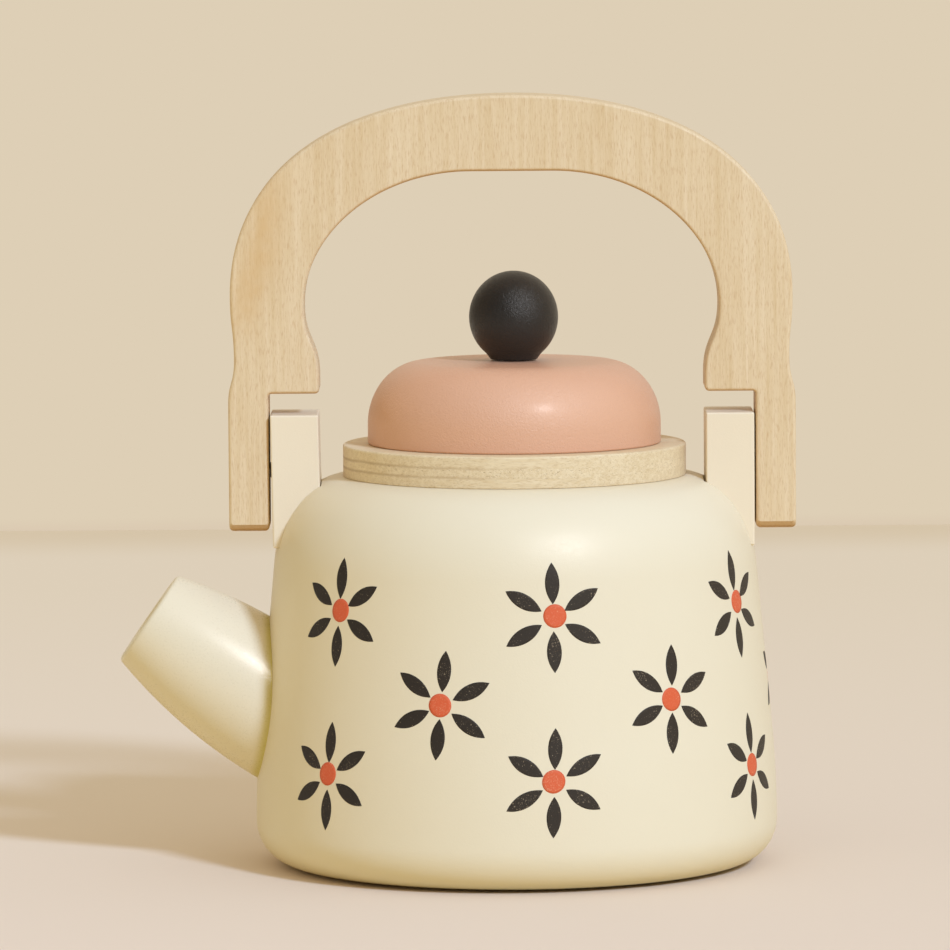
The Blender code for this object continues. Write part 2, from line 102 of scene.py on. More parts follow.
SIDES = (("left", -1.0), ("right", 1.0))
SIDE_SHIFT = {"left": -0.0004, "right": -0.00065}
HANDLE_EDGE_ROUND = 0.0008
FOOT_CHAMFER = 0.0015
HANDLE_EDGE_STEPS = 6
SPLIT_WELD = 0.00001
SHARP_CORNER = 0.0001
ARCH_RISE = 0.0841
ARCH_TOP_WIDTH = 0.017
ARCH_SIDE_WIDTH = 0.0165
ARCH_WIDEST_RISE = 0.0393
INNER_WIDEST_RISE = 0.0369
INNER_FLAT = 0.0092
ARCH_TUCK = 0.0006
WAIST_RISE = 0.0251
WAIST_TUCK = 0.0014
LEG_WIDTH = 0.009
LEG_TOP_RISE = 0.0151
LEG_DROP = 0.0132
LEG_CORNER_ROUND = 0.001
STEP_RISE = 0.0176
STEP_LEDGE = 0.0114
STEP_CORNER_ROUND = 0.001
STEP_FILLET = 0.0007
LOBE_RISE = 0.0211
ARCH_OUTER_FULLNESS = (0.59, 0.66)

SCREW_RADIUS = 0.00175
SCREW_HOLE = SCREW_RADIUS + SEAT_GAP
SCREW_HEAD_RADIUS = 0.0038
SCREW_HEAD_HEIGHT = 0.0024
SCREW_HEAD_RECESS = 0.0006
SCREW_CROWN_SHARE = 0.45
SCREW_RIM_SHARE = 0.25
SCREW_TIP_SHARE = 0.3
WASHER_EASE_SHARE = 0.25
CROSS_LENGTH = 0.004
CROSS_WIDTH = 0.0009
CROSS_DEPTH = 0.0013

FLANGE_EDGE_ROUND = 0.0005
FLANGE_FOOT_ROUND = 0.0002
DOME_TOP_RADIUS = 0.0208
DOME_CROWN = 0.0001
DOME_SHOULDER_HEIGHT = 0.014
DOME_FOOT_ROUND = 0.0005
PLUG_EDGE_ROUND = 0.001
KNOB_FLAT_RADIUS = 0.004
KNOB_FOOT_RADIUS = 0.0052
KNOB_FOOT_FLARE = 0.75
KNOB_FOOT_HEIGHT = 0.002
KNOB_HALF_HEIGHT = 0.01035
KNOB_SCREW_GRIP = 0.011

BODY_FACETS = 256
LID_FACETS = 192
SPOUT_FACETS = 128
PIN_FACETS = 48
WELD = 0.000002
TURNED_SHARP_ANGLE = math.radians(35.0)
BOARD_SHARP_ANGLE = math.radians(50.0)
ROUND_FULLNESS = (0.5523, 0.5523)
QUARTER_TURN = math.radians(90.0)

# Flowers printed on the body: angles in degrees from the front towards the right
FLOWER_STEP = 54.2
FLOWER_ROWS = (
    # height, angle of the row's middle, then for each flower its
    # slip, rise, turn, slope, dot across and dot up
    (0.0606, 90.2, (
        (0.08, 0.00012, 1.6, 0.05, 0.00032, 0.00043), (-0.58, 0.00024, -0.7, 0.0, 0.00037, 0.00038),
        (-0.65, -0.00006, -3.9, -0.055, 0.0007, 0.0005), (-0.4, 0.0, 0.8, 0.0, -0.00015, 0.0002),
        (0.5, 0.0001, -1.2, 0.0, 0.0002, 0.0003), (0.2, -0.0002, 1.0, 0.0, 0.0, 0.00035))),
    (0.0418, 91.0, (
        (0.25, -0.00006, 4.5, -0.007, -0.00021, 0.00002), (0.07, -0.00001, 3.3, -0.03, -0.00018, -0.00003),
        (0.7, 0.0003, -1.0, 0.0, 0.0001, 0.0001), (0.5, -0.0001, 1.5, 0.0, -0.0001, 0.0002),
        (-0.3, 0.0002, 0.6, 0.0, 0.00015, 0.0))),
    (0.0247, 90.2, (
        (-0.55, -0.00003, 2.4, 0.062, -0.00014, 0.0005), (-0.99, 0.00023, 2.1, 0.036, -0.00021, 0.00036),
        (0.76, -0.00038, -1.4, -0.035, 0.00009, 0.00035), (-0.5, 0.0, 1.1, 0.0, 0.0001, 0.0002),
        (0.4, 0.0002, -0.9, 0.0, -0.0001, 0.0003), (0.0, -0.0001, 0.4, 0.0, 0.0002, 0.0003))),
)
PLACE_LABELS = ("angle", "height", "reach", "turn", "slope", "shift_across", "shift_up")
PETAL_COUNT = 6
PETAL_START = 0.00294
PETAL_END = 0.01198
PETAL_WIDTH = 0.0032
PETAL_SWELL = 2.1
PETAL_BLUNTNESS = 0.004
DOT_RADIUS = 0.00258
INK_FILM = 0.00003
PRINT_REACH = 0.2


def srgb(red, green, blue):
    """A colour given as 0 to 255 screen values, as the linear RGBA that nodes take."""
    def linear(value):
        share = value / 255.0
        return share / 12.92 if share <= 0.04045 else ((share + 0.055) / 1.055) ** 2.4
    return (linear(red), linear(green), linear(blue), 1.0)


class Nodes:
    """Short words for adding nodes to one tree, which may put out values."""

    def __init__(self, tree, leave=()):
        self.tree = tree
        self.leave = leave

    def link(self, source, socket):
        self.tree.links.new(source, socket)

    def add(self, kind, inputs=None, **settings):
        """Add a node, make its settings, then link or set its inputs by name or number."""
        item = self.tree.nodes.new(kind)
        for key, value in settings.items():
            setattr(item, key, value)
        for key, value in (inputs or {}).items():
            if isinstance(key, str):
                socket = next(s for s in item.inputs if s.name == key and s.enabled)
            else:
                socket = item.inputs[key]
            if isinstance(value, bpy.types.NodeSocket):
                self.link(value, socket)
            else:
                socket.default_value = value
        return item

    def get(self, kind, inputs=None, output=None, **settings):
        """Add a node and give its first live output, or the one of that name."""
        item = self.add(kind, inputs, **settings)
        return next(s for s in item.outputs if s.enabled and output in (None, s.name))

    def calc(self, operation, *values, clamp=False):
        inputs = dict(enumerate(values))
        return self.get("ShaderNodeMath", inputs, operation=operation, use_clamp=clamp)

    # scaled gives the first value times the second, plus the third
    plus = partialmethod(calc, "ADD")
    minus = partialmethod(calc, "SUBTRACT")
    times = partialmethod(calc, "MULTIPLY")
    over = partialmethod(calc, "DIVIDE")
    scaled = partialmethod(calc, "MULTIPLY_ADD")
    size = partialmethod(calc, "ABSOLUTE")

    def whole(self, operation, *values):
        return self.get("FunctionNodeIntegerMath", dict(enumerate(values)), operation=operation)

    def where(self, kind="Object"):
        return self.get("ShaderNodeTexCoord", None, kind)

    def axes(self, vector):
        return tuple(self.add("ShaderNodeSeparateXYZ", {0: vector}).outputs)

    def vector(self, **parts):
        return self.get("ShaderNodeCombineXYZ", parts)

    def along_z(self, vector, factor):
        return self.get("ShaderNodeVectorMath", {0: vector, 1: (1.0, 1.0, factor)}, operation="MULTIPLY")

    def group(self, tree, *values):
        return tuple(self.add("ShaderNodeGroup", dict(enumerate(values)), node_tree=tree).outputs)

    def noise(self, vector, scale, detail, **more):
        inputs = {"Vector": vector, "Scale": scale, "Detail": detail}
        return self.get("ShaderNodeTexNoise", {**inputs, **more})

    def mix(self, share, first, second, data_type="RGBA", blend_type="MIX"):
        inputs = {"Factor": share, "A": first, "B": second}
        return self.get("ShaderNodeMix", inputs, data_type=data_type, blend_type=blend_type)

    def ramp(self, value, start, end, first=0.0, last=1.0, soft=False):
        """Goes from first to last while the value goes from start to end."""
        inputs = {"Value": value, "From Min": start, "From Max": end, "To Min": first, "To Max": last}
        interpolation = "SMOOTHSTEP" if soft else "LINEAR"
        return self.get("ShaderNodeMapRange", inputs, interpolation_type=interpolation)

    def seen(self, path):
        """One for rays that show a surface straight, in a mirror or through glass."""
        direct = self.plus(path["Is Camera Ray"], path["Is Glossy Ray"])
        return self.plus(direct, path["Is Transmission Ray"], clamp=True)

    def put_out(self, *values):
        """End a group with the values of its outputs."""
        for value, socket in zip(values, self.leave):
            self.link(value, socket)
        return self.tree

    def put_out_shape(self, geometry, material):
        """End a geometry tree: make instances real and set the material."""
        real = self.get("GeometryNodeRealizeInstances", {"Geometry": geometry})
        return self.put_out(self.get("GeometryNodeSetMaterial", {"Geometry": real, "Material": material}))


def new_tree(name, kind, inputs, outputs):
    """An empty node group with named sockets: its nodes, and the values that it is given."""
    tree = bpy.data.node_groups.new(name, kind)
    for in_out, sockets in (("INPUT", inputs), ("OUTPUT", outputs)):
        for label, socket_type in sockets.items():
            tree.interface.new_socket(label, in_out=in_out, socket_type="NodeSocket" + socket_type)
    given = tree.nodes.new("NodeGroupInput").outputs[:len(inputs)]
    leave = tree.nodes.new("NodeGroupOutput").inputs[:len(outputs)]
    return Nodes(tree, leave), given


# Geometry trees
def turning_tree():
    """Turns a line of points in the XZ plane once round Z, as on a lathe."""
    n, (profile, facets, finish) = new_tree(
        "turned_on_lathe", "GeometryNodeTree",
        {"Profile": "Geometry", "Facets": "Int", "Finish": "Material"}, {"Turned": "Geometry"})
    count = n.get("GeometryNodeAttributeDomainSize", {"Geometry": profile}, "Point Count")
    grid = n.get("GeometryNodeMeshGrid", {
        "Vertices X": n.whole("ADD", facets, 1), "Vertices Y": count})
    index = n.get("GeometryNodeInputIndex")
    point = n.get("GeometryNodeSampleIndex", {
        "Geometry": profile, "Value": n.get("GeometryNodeInputPosition"),
        "Index": n.whole("MODULO", index, count)}, data_type="FLOAT_VECTOR")
    column = n.whole("DIVIDE_FLOOR", index, count)
    angle = n.over(n.times(column, math.tau), facets)
    turned = n.get("ShaderNodeVectorRotate", {"Vector": point, "Angle": angle}, rotation_type="Z_AXIS")
    shape = n.get("GeometryNodeSetPosition", {"Geometry": grid, "Position": turned})
    closed = n.get("GeometryNodeMergeByDistance", {"Geometry": shape, "Distance": WELD})
    return n.put_out_shape(closed, finish)


def flower_tree():
    """Flat lens-shaped petals round the origin in the XY plane, one of them upright."""
    n, (_, count, start, end, width, finish) = new_tree(
        "flower_stamp", "GeometryNodeTree",
        {"Centre": "Geometry", "Petals": "Int", "Start": "Float", "End": "Float", "Width": "Float",
         "Finish": "Material"}, {"Flower": "Geometry"})
    grid = n.get("GeometryNodeMeshGrid", {"Vertices X": 33, "Vertices Y": 9})
    along, side, _ = n.axes(n.get("GeometryNodeInputPosition"))
    reach = n.scaled(n.plus(along, 0.5), n.minus(end, start), start)
    ends = n.calc("POWER", n.size(n.times(along, 2.0)), PETAL_SWELL)
    swell = n.minus(1.0 + PETAL_BLUNTNESS, ends)
    flat = n.vector(X=reach, Y=n.times(n.times(side, swell), width))
    petal = n.get("GeometryNodeSetPosition", {"Geometry": grid, "Position": flat})
    points = n.get("GeometryNodePoints", {"Count": count})
    angle = n.scaled(n.get("GeometryNodeInputIndex"), n.over(math.tau, count), QUARTER_TURN)
    turn = n.get("FunctionNodeAxisAngleToRotation", {"Axis": (0.0, 0.0, 1.0), "Angle": angle})
    petals = n.get("GeometryNodeInstanceOnPoints", {
        "Points": points, "Instance": petal, "Rotation": turn})
    return n.put_out_shape(petals, finish)


def print_tree():
    """Lays a flat stamp on a body at each place, given by its angle, height, turn and slope."""
    n, (places, stamp, body, film, finish) = new_tree(
        "printed_on_body", "GeometryNodeTree",
        {"Places": "Geometry", "Stamp": "Object", "Body": "Object", "Film": "Float",
         "Finish": "Material"}, {"Print": "Geometry"})

    def named(label):
        return n.get("GeometryNodeInputNamedAttribute", {"Name": label}, data_type="FLOAT")

    def shape_of(item):
        return n.get("GeometryNodeObjectInfo", {"Object": item}, "Geometry")

    turn = n.get("FunctionNodeAxisAngleToRotation", {"Axis": (0.0, 0.0, -1.0), "Angle": named("turn")})
    stamps = n.get("GeometryNodeInstanceOnPoints", {
        "Points": places, "Instance": shape_of(stamp), "Rotation": turn})
    flat = n.get("GeometryNodeRealizeInstances", {"Geometry": stamps})
    side, up, _ = n.axes(n.get("GeometryNodeInputPosition"))
    across = n.plus(side, named("shift_across"))
    rise = n.plus(n.scaled(side, named("slope"), up), named("shift_up"))
    angle = n.plus(named("angle"), n.over(across, named("reach")))
    sine, cosine = n.calc("SINE", angle), n.calc("COSINE", angle)
    start = n.vector(
        X=n.times(sine, PRINT_REACH), Y=n.times(cosine, -PRINT_REACH), Z=n.plus(named("height"), rise))
    hit = n.add("GeometryNodeRaycast", {
        "Target Geometry": shape_of(body), "Source Position": start,
        "Ray Direction": n.vector(X=n.times(sine, -1.0), Y=cosine), "Ray Length": PRINT_REACH}).outputs
    proud = n.get("ShaderNodeVectorMath", {0: hit["Hit Normal"], "Scale": film}, operation="SCALE")
    on_body = n.get("ShaderNodeVectorMath", {0: hit["Hit Position"], 1: proud})
    laid = n.get("GeometryNodeSetPosition", {"Geometry": flat, "Position": on_body})
    return n.put_out_shape(laid, finish)


# Mesh helpers
def add_object(name, data):
    item = bpy.data.objects.new(name, data)
    bpy.context.scene.collection.objects.link(item)
    return item


def from_shape(name, shape):
    """An object from an edited shape, which is used up."""
    mesh = bpy.data.meshes.new(name)
    shape.to_mesh(mesh)
    shape.free()
    return add_object(name, mesh)


def settle(item):
    """Make what the modifiers give the object's own plain mesh."""
    depsgraph = bpy.context.evaluated_depsgraph_get()
    mesh = bpy.data.meshes.new_from_object(
        item.evaluated_get(depsgraph), preserve_all_data_layers=True, depsgraph=depsgraph)
    item.modifiers.clear()
    item.data = mesh
    mesh.name = item.name
    return item


def modify(item, name, kind, **settings):
    """Put a modifier with its settings on an object, and keep the plain mesh that it gives."""
    modifier = item.modifiers.new(name, kind)
    for key, value in settings.items():
        setattr(modifier, key, value)
    return settle(item)


def run_tree(item, tree, **values):
    """Run a geometry tree on an object, with its inputs by name, and keep the plain mesh."""
    modifier = item.modifiers.new(tree.name, "NODES")
    modifier.node_group = tree
    for socket in tree.interface.items_tree:
        if socket.in_out == "INPUT" and socket.name in values:
            modifier[socket.identifier] = values[socket.name]
    settle(item)
    if item.data.materials[0] is None:
        item.data.materials.pop(index=0)
    return item


def smooth(item):
    """Close doubles, face outwards, and shade smooth between sharp edges."""
    shape = bmesh.new()
    shape.from_mesh(item.data)
    bmesh.ops.remove_doubles(shape, verts=shape.verts, dist=WELD)
    bmesh.ops.dissolve_degenerate(shape, edges=shape.edges, dist=0.5 * WELD)
    bmesh.ops.recalc_face_normals(shape, faces=shape.faces)
    shape.to_mesh(item.data)
    shape.free()
    item.data.shade_smooth()
    item.data.set_sharp_from_angle(angle=TURNED_SHARP_ANGLE)
    return item


def discard(*items):
    for item in items:
        bpy.data.objects.remove(item, do_unlink=True)


def cut(item, *cutters):
    """Take the cutters out of a piece, and throw them away."""
    for cutter in cutters:
        modify(item, cutter.name, "BOOLEAN", operation="DIFFERENCE", solver="EXACT", object=cutter)
    discard(*cutters)


def bezier(*ends_and_handles, count):
    return [tuple(point) for point in interpolate_bezier(*ends_and_handles, count)]


def bend(start, corner, end, count, fullness=ROUND_FULLNESS):
    """Points of a round stretch from start to end whose tangents meet at corner."""
    start, corner, end = Vector(start), Vector(corner), Vector(end)
    return bezier(start, start.lerp(corner, fullness[0]), end.lerp(corner, fullness[1]), end, count=count)


def sway(start, end, count):
    """Points of a gentle S from start to end, upright at both ends."""
    start, end = Vector(start), Vector(end)
    middle = 0.5 * (start.y + end.y)
    return bezier(start, Vector((start.x, middle)), Vector((end.x, middle)), end, count=count)


def straight(start, end, count):
    """Points between two ends, without the ends themselves."""
    start, end = Vector(start), Vector(end)
    return [tuple(start.lerp(end, i / (count + 1))) for i in range(1, count + 1)]


def turned(name, profile, facets, finish):
    """A piece turned from a line of (radius, height) points."""
    mesh = bpy.data.meshes.new(name)
    points = [(radius, 0.0, height) for radius, height in profile]
    mesh.from_pydata(points, [(i, i + 1) for i in range(len(points) - 1)], [])
    return smooth(run_tree(add_object(name, mesh), LATHE, Facets=facets, Finish=finish))


def rod(name, radius, start, end):
    """A cylinder from start to end that cuts a hole with room round that radius."""
    start, end = Vector(start), Vector(end)
    hole = radius + SEAT_GAP
    shape = bmesh.new()
    bmesh.ops.create_cone(
        shape, cap_ends=True, segments=PIN_FACETS, radius1=hole, radius2=hole, depth=(end - start).length)
    item = from_shape(name, shape)
    aim = (end - start).to_track_quat("Z", "Y").to_matrix().to_4x4()
    item.data.transform(Matrix.Translation(0.5 * (start + end)) @ aim)
    return item


def block(name, low, high):
    """A plain box between two corners."""
    low, high = Vector(low), Vector(high)
    shape = bmesh.new()
    bmesh.ops.create_cube(shape, size=1.0)
    bmesh.ops.scale(shape, vec=high - low, verts=shape.verts)
    bmesh.ops.translate(shape, vec=0.5 * (low + high), verts=shape.verts)
    return from_shape(name, shape)


def flatten_shading(item):
    """Keep flat faces flat in the shading beside rounded edges."""
    item.data.shade_smooth()
    item.data.set_sharp_from_angle(angle=BOARD_SHARP_ANGLE)
    return modify(item, "flat_faces", "WEIGHTED_NORMAL", keep_sharp=True)


def hand_in(item, body, node):
    """Let a finished piece stand for its solid."""
    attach(item, body)
    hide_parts(node)


# Shared shader effects
SURFACE = {"Colour": "Color", "Roughness": "Float", "Height": "Float"}


def satin_paint_group():
    """Brushed-on satin paint: slow shifts of tone, a fine grain, and uneven gloss."""
    n, (paint, thin, mottle, mottle_scale, grain_scale, gloss) = new_tree(
        "satin_paint", "ShaderNodeTree",
        {"Paint": "Color", "Thin Paint": "Color", "Mottle": "Float", "Mottle Scale": "Float",
         "Grain Scale": "Float", "Gloss Level": "Float"}, SURFACE)
    where = n.where()
    slow = n.noise(where, mottle_scale, 4.0, Roughness=0.6)
    grain = n.noise(where, grain_scale, 3.0, Roughness=0.65)
    pits = n.noise(where, n.times(grain_scale, 2.7), 1.0)
    colour = n.mix(n.times(n.minus(slow, 0.3), mottle, clamp=True), paint, thin)
    uneven = n.plus(gloss, n.times(n.minus(slow, 0.5), 0.14))
    return n.put_out(colour, n.scaled(n.minus(grain, 0.5), 0.4, uneven), n.scaled(pits, 0.35, grain))


def wood_grain_group():
    """Pale wood whose grain runs along Z of the given vector: soft bands, fibres and short flecks."""
    n, (vector, light, dark, fleck, band_level, fibre_level, fleck_level) = new_tree(
        "wood_grain", "ShaderNodeTree",
        {"Vector": "Vector", "Light": "Color", "Dark": "Color", "Fleck": "Color", "Bands": "Float",
         "Fibres": "Float", "Flecks": "Float"}, SURFACE)

    def drawn_out(stretch, scale, detail, distortion=0.0):
        return n.noise(n.along_z(vector, stretch), scale, detail, Roughness=0.6, Distortion=distortion)

    bands = drawn_out(0.1, 105.0, 3.0, 0.6)
    fibres = drawn_out(0.035, 1300.0, 4.0)
    dashes = drawn_out(0.14, 3600.0, 2.0)
    tone = n.scaled(n.minus(bands, 0.5), band_level, 0.45)
    tone = n.scaled(n.minus(fibres, 0.5), fibre_level, tone, clamp=True)
    pores = n.ramp(dashes, 0.5, 0.76)
    colour = n.mix(n.times(pores, fleck_level), n.mix(tone, light, dark), fleck)
    height = n.minus(fibres, n.times(pores, 0.6))
    return n.put_out(colour, n.scaled(fibres, 0.16, 0.42), height)


SATIN = satin_paint_group()
GRAIN = wood_grain_group()


# Finishes
class Finish(Nodes):
    """The nodes of a new material, with plain values on its shader's own sockets."""

    def __init__(self, name, sockets=None):
        self.material = bpy.data.materials.new(name)
        self.material.use_nodes = True
        super().__init__(self.material.node_tree)
        self.shader = self.tree.nodes["Principled BSDF"].inputs
        for label, value in (sockets or {}).items():
            self.shader[label].default_value = value

    def wire(self, colour, roughness, height, strength, distance):
        """Bring the surface's colour, roughness and relief to the shader."""
        bump = self.get("ShaderNodeBump", {"Height": height, "Strength": strength, "Distance": distance})
        self.link(colour, self.shader["Base Color"])
        self.link(roughness, self.shader["Roughness"])
        self.link(bump, self.shader["Normal"])
        return self.material


PAINT_MOTTLE = 0.5
PAINT_MOTTLE_SCALE = 45.0
PAINT_GRAIN_SCALE = 2200.0
PAINT_RELIEF = 0.00005


def coat(n, paint, gloss, mottle_scale=PAINT_MOTTLE_SCALE):
    return n.group(SATIN, *paint, PAINT_MOTTLE, mottle_scale, PAINT_GRAIN_SCALE, gloss)


def painted(name, paint, gloss, mottle_scale=PAINT_MOTTLE_SCALE, relief=PAINT_RELIEF, sockets=None):
    """Satin paint of two close tones."""
    n = Finish(name, sockets)
    return n.wire(*coat(n, paint, gloss, mottle_scale), 0.5, relief)


BOARD_TONES = (srgb(234, 209, 166), srgb(209, 176, 122), srgb(188, 141, 90))
STREAK_COLOUR = srgb(213, 172, 112)
STREAK_LEAN = 0.25
STREAK_FOOT = -0.0914
STREAK_WIDTH = 0.0038
STREAK_MIDDLE = 0.138
STREAK_FADE = (0.008, 0.024)
STREAK_STRENGTH = 0.6
# Colour of the painted shade on the board's downward-facing edges
UNDERSIDE_SHADE = srgb(192, 142, 85)


def board_finish():
    """Sanded pale board, with the grain upright, one darker streak, and painted shade on its downward-facing
    edges.
    """
    n = Finish("pale_board")
    where = n.where()
    grain, roughness, height = n.group(GRAIN, where, *BOARD_TONES, 0.7, 1.1, 0.5)
    across, _, up = n.axes(where)
    line = n.scaled(up, STREAK_LEAN, STREAK_FOOT)
    line = n.scaled(n.minus(n.noise(where, 60.0, 2.0), 0.5), 0.006, line)
    away = n.over(n.minus(across, line), STREAK_WIDTH)
    streak = n.calc("EXPONENT", n.times(n.times(away, away), -1.0))
    blotch = n.scaled(n.noise(where, 420.0, 3.0), 1.2, 0.4)
    fade = n.ramp(n.size(n.minus(up, STREAK_MIDDLE)), *STREAK_FADE, STREAK_STRENGTH, 0.0, soft=True)
    streaked = n.mix(n.times(streak, n.times(fade, blotch)), grain, STREAK_COLOUR)
    facing_up = n.axes(n.where("Normal"))[2]
    # painted shade: faces that turn downwards are mixed towards a darker brown
    shaded_under = n.mix(n.ramp(facing_up, -0.25, -0.9, 0.0, 0.8), streaked, UNDERSIDE_SHADE)
    return n.wire(shaded_under, roughness, height, 0.35, 0.00006)


PLY_TONES = (srgb(236, 214, 170), srgb(215, 187, 137), srgb(168, 128, 78))
PLY_GLUE = srgb(161, 124, 76)
PLY_PIT = srgb(137, 97, 55)
# Paler tone of the painted light on the disc's left side
PLY_PAINTED_LIGHT = srgb(248, 231, 192)
PLY_LINES = (0.32, 0.62)
flange_low, flange_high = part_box("lid_flange")
plug_low, plug_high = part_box("lid_plug")


def plywood_finish(name, foot, thickness):
    """Plies laid crosswise, with thin glue lines between them, pits in the end grain, and painted light that
    pales the left side.
    """
    n = Finish(name)
    where = n.where()
    across, deep, up = n.axes(where)
    side = n.over(across, flange_high.x)
    level = n.over(n.minus(up, foot), thickness)
    level = n.scaled(n.minus(n.noise(where, 70.0, 2.0), 0.5), 0.13, level)
    middle = n.times(
        n.calc("GREATER_THAN", level, PLY_LINES[0]), n.calc("LESS_THAN", level, PLY_LINES[1]))
    veneers = []
    for turn in ((0.0, QUARTER_TURN, 0.0), (QUARTER_TURN, 0.0, 0.0)):
        along = n.get("ShaderNodeMapping", {"Vector": where, "Rotation": turn})
        veneers.append(n.group(GRAIN, along, *PLY_TONES, 1.0, 1.8, 0.42))
    (outer, roughness, outer_height), (inner, _, inner_height) = veneers
    colour = n.mix(middle, outer, inner)
    height = n.mix(middle, outer_height, inner_height, data_type="FLOAT")
    glue = 0.0
    for line in PLY_LINES:
        gap = n.size(n.minus(level, line))
        glue = n.calc("MAXIMUM", glue, n.ramp(gap, 0.0, 0.065, 1.0, 0.0))
    broken = n.times(n.noise(where, 260.0, 3.0), 1.1)
    broken = n.plus(broken, n.scaled(side, -0.9, -0.42), clamp=True)
    glue = n.times(glue, broken)
    glued = n.mix(n.times(glue, 0.7), colour, PLY_GLUE)
    pits = n.ramp(n.noise(n.along_z(where, 2.4), 1300.0, 1.0), 0.64, 0.72)
    pits = n.times(n.times(pits, middle), n.size(n.over(deep, flange_high.x)))
    pitted = n.mix(n.times(pits, 0.5), glued, PLY_PIT)
    relief = n.minus(height, n.times(n.plus(glue, pits), 0.8))
    # painted light: the left side of the disc is mixed towards a paler tone
    lit_left = n.mix(n.scaled(side, -0.2, -0.03, clamp=True), pitted, PLY_PAINTED_LIGHT)
    return n.wire(lit_left, roughness, relief, 0.5, 0.0001)


BARE_TONES = (srgb(222, 178, 116), srgb(198, 149, 86), srgb(160, 110, 60))


def turned_wood_finish(name, turn):
    """Bare wood with its grain along the turned Z axis."""
    n = Finish(name)
    along = n.get("ShaderNodeMapping", {"Vector": n.where(), "Rotation": turn})
    return n.wire(*n.group(GRAIN, along, *BARE_TONES, 1.4, 1.0, 0.4), 0.4, 0.00008)


def ink_finish(name, ink, bare, specks, cover):
    """A printed film that lets the paint below show through in tiny specks."""
    n = Finish(name)
    where = n.where()
    grain = n.noise(where, 3400.0, 2.0, Roughness=0.7)
    limit = n.scaled(n.noise(where, 160.0, 2.0), -0.28, cover)
    gap = n.over(n.minus(grain, limit), 0.1, clamp=True)
    colour = n.mix(n.times(gap, specks), ink, bare)
    return n.wire(colour, n.scaled(grain, 0.3, 0.42), grain, 0.5, 0.0001)


def steel_finish():
    """Zinc plate, slightly clouded, with fine turning marks."""
    n = Finish("zinc_plated_steel", {"Metallic": 1.0})
    where = n.where()
    cloud = n.noise(where, 700.0, 3.0)
    marks = n.noise(where, 5200.0, 1.0)
    colour = n.mix(cloud, srgb(206, 205, 200), srgb(176, 174, 166))
    return n.wire(colour, n.scaled(cloud, 0.24, 0.18), marks, 0.3, 0.00003)


CREAM_PAINT = (srgb(232, 216, 179), srgb(228, 209, 169))
# painted light: the brackets get a lighter, slightly pinker copy of the body's cream, so that their faces
# look more lit
BRACKET_LIT_PAINT = (srgb(237, 218, 181), srgb(233, 211, 171))
PINK_PAINT = (srgb(223, 168, 128), srgb(217, 160, 119))
BLACK_PAINT = (srgb(34, 30, 25), srgb(40, 35, 30))
PINK_GLOSS = {"Specular IOR Level": 0.8, "Coat Weight": 0.2, "Coat Roughness": 0.25}
CREAM = painted("cream_satin_paint", CREAM_PAINT, 0.42)
BRACKET_LIT_CREAM = painted("cream_bracket_paint", BRACKET_LIT_PAINT, 0.42)
PINK = painted("pink_satin_paint", PINK_PAINT, 0.45, relief=0.00028, sockets=PINK_GLOSS)
BLACK = painted("black_satin_paint", BLACK_PAINT, 0.35, mottle_scale=120.0, relief=0.00038)
BOARD = board_finish()
PLY = plywood_finish("plywood_disc", flange_low.z, flange_high.z - flange_low.z)
PLUG_PLY = plywood_finish("plywood_plug", plug_low.z, plug_high.z - plug_low.z)
BARE = turned_wood_finish("bare_turned_wood", (0.0, 0.0, 0.0))
LEANED = turned_wood_finish("bare_spout_dowel", (0.0, QUARTER_TURN - SPOUT_TILT, 0.0))
STEEL = steel_finish()
INK = ink_finish("black_ink", srgb(42, 33, 23), srgb(211, 186, 146), 0.6, 0.785)
RED = ink_finish("red_ink", srgb(218, 92, 49), srgb(232, 182, 138), 0.32, 0.7)

LATHE = turning_tree()
FLOWER = flower_tree()
PRINT = print_tree()

# Body
body_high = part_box("kettle_body")[1]
BELLY_RADIUS = body_high.x
NECK_HEIGHT = body_high.z - SHOULDER_HEIGHT
BODY_TOP = flange_low.z - PAINTED_GAP


def side_radius(height):
    """Radius of the body's straight tapered side at a height."""
    share = (height - BELLY_CORNER_HEIGHT) / (NECK_HEIGHT - BELLY_CORNER_HEIGHT)
    return BELLY_RADIUS + share * (NECK_RADIUS - BELLY_RADIUS)


def body_outside(grow=0.0):
    """The body's outer side from the edge of its flat top down to the edge of its base."""
    taper_start = 2.0 * BELLY_CORNER_HEIGHT - BASE_FILLET
    neck = (NECK_RADIUS, NECK_HEIGHT)
    belly_top = (side_radius(taper_start), taper_start)
    belly_foot = (BELLY_RADIUS, BASE_FILLET)
    shoulder = (side_radius(BODY_TOP), BODY_TOP)
    foot_edge = BELLY_RADIUS - FOOT_REACH
    side = bend((BODY_TOP_RADIUS, BODY_TOP), shoulder, neck, 33, SHOULDER_FULLNESS)
    side += straight(neck, belly_top, 11)
    side += bend(belly_top, (BELLY_RADIUS, BELLY_CORNER_HEIGHT), belly_foot, 17)
    side += bend(belly_foot, (BELLY_RADIUS, FOOT_RISE), (foot_edge, FOOT_RISE), 17)[1:]
    side += [(foot_edge - FOOT_INSET, FOOT_RISE), (foot_edge - FOOT_INSET, 0.0)]
    return [(radius + grow, height) for radius, height in side]


cavity = [(0.0, CAVITY_FLOOR)] + bend(
    (CAVITY_RADIUS - CAVITY_FILLET, CAVITY_FLOOR), (CAVITY_RADIUS, CAVITY_FLOOR),
    (CAVITY_RADIUS, CAVITY_FLOOR + CAVITY_FILLET), 9)
mouth = bend(
    (CAVITY_RADIUS, BODY_TOP - MOUTH_ROUND), (CAVITY_RADIUS, BODY_TOP),
    (CAVITY_RADIUS + MOUTH_ROUND, BODY_TOP), 7)
kettle_body = turned("turned_body", cavity + mouth + body_outside() + [(0.0, 0.0)], BODY_FACETS, CREAM)

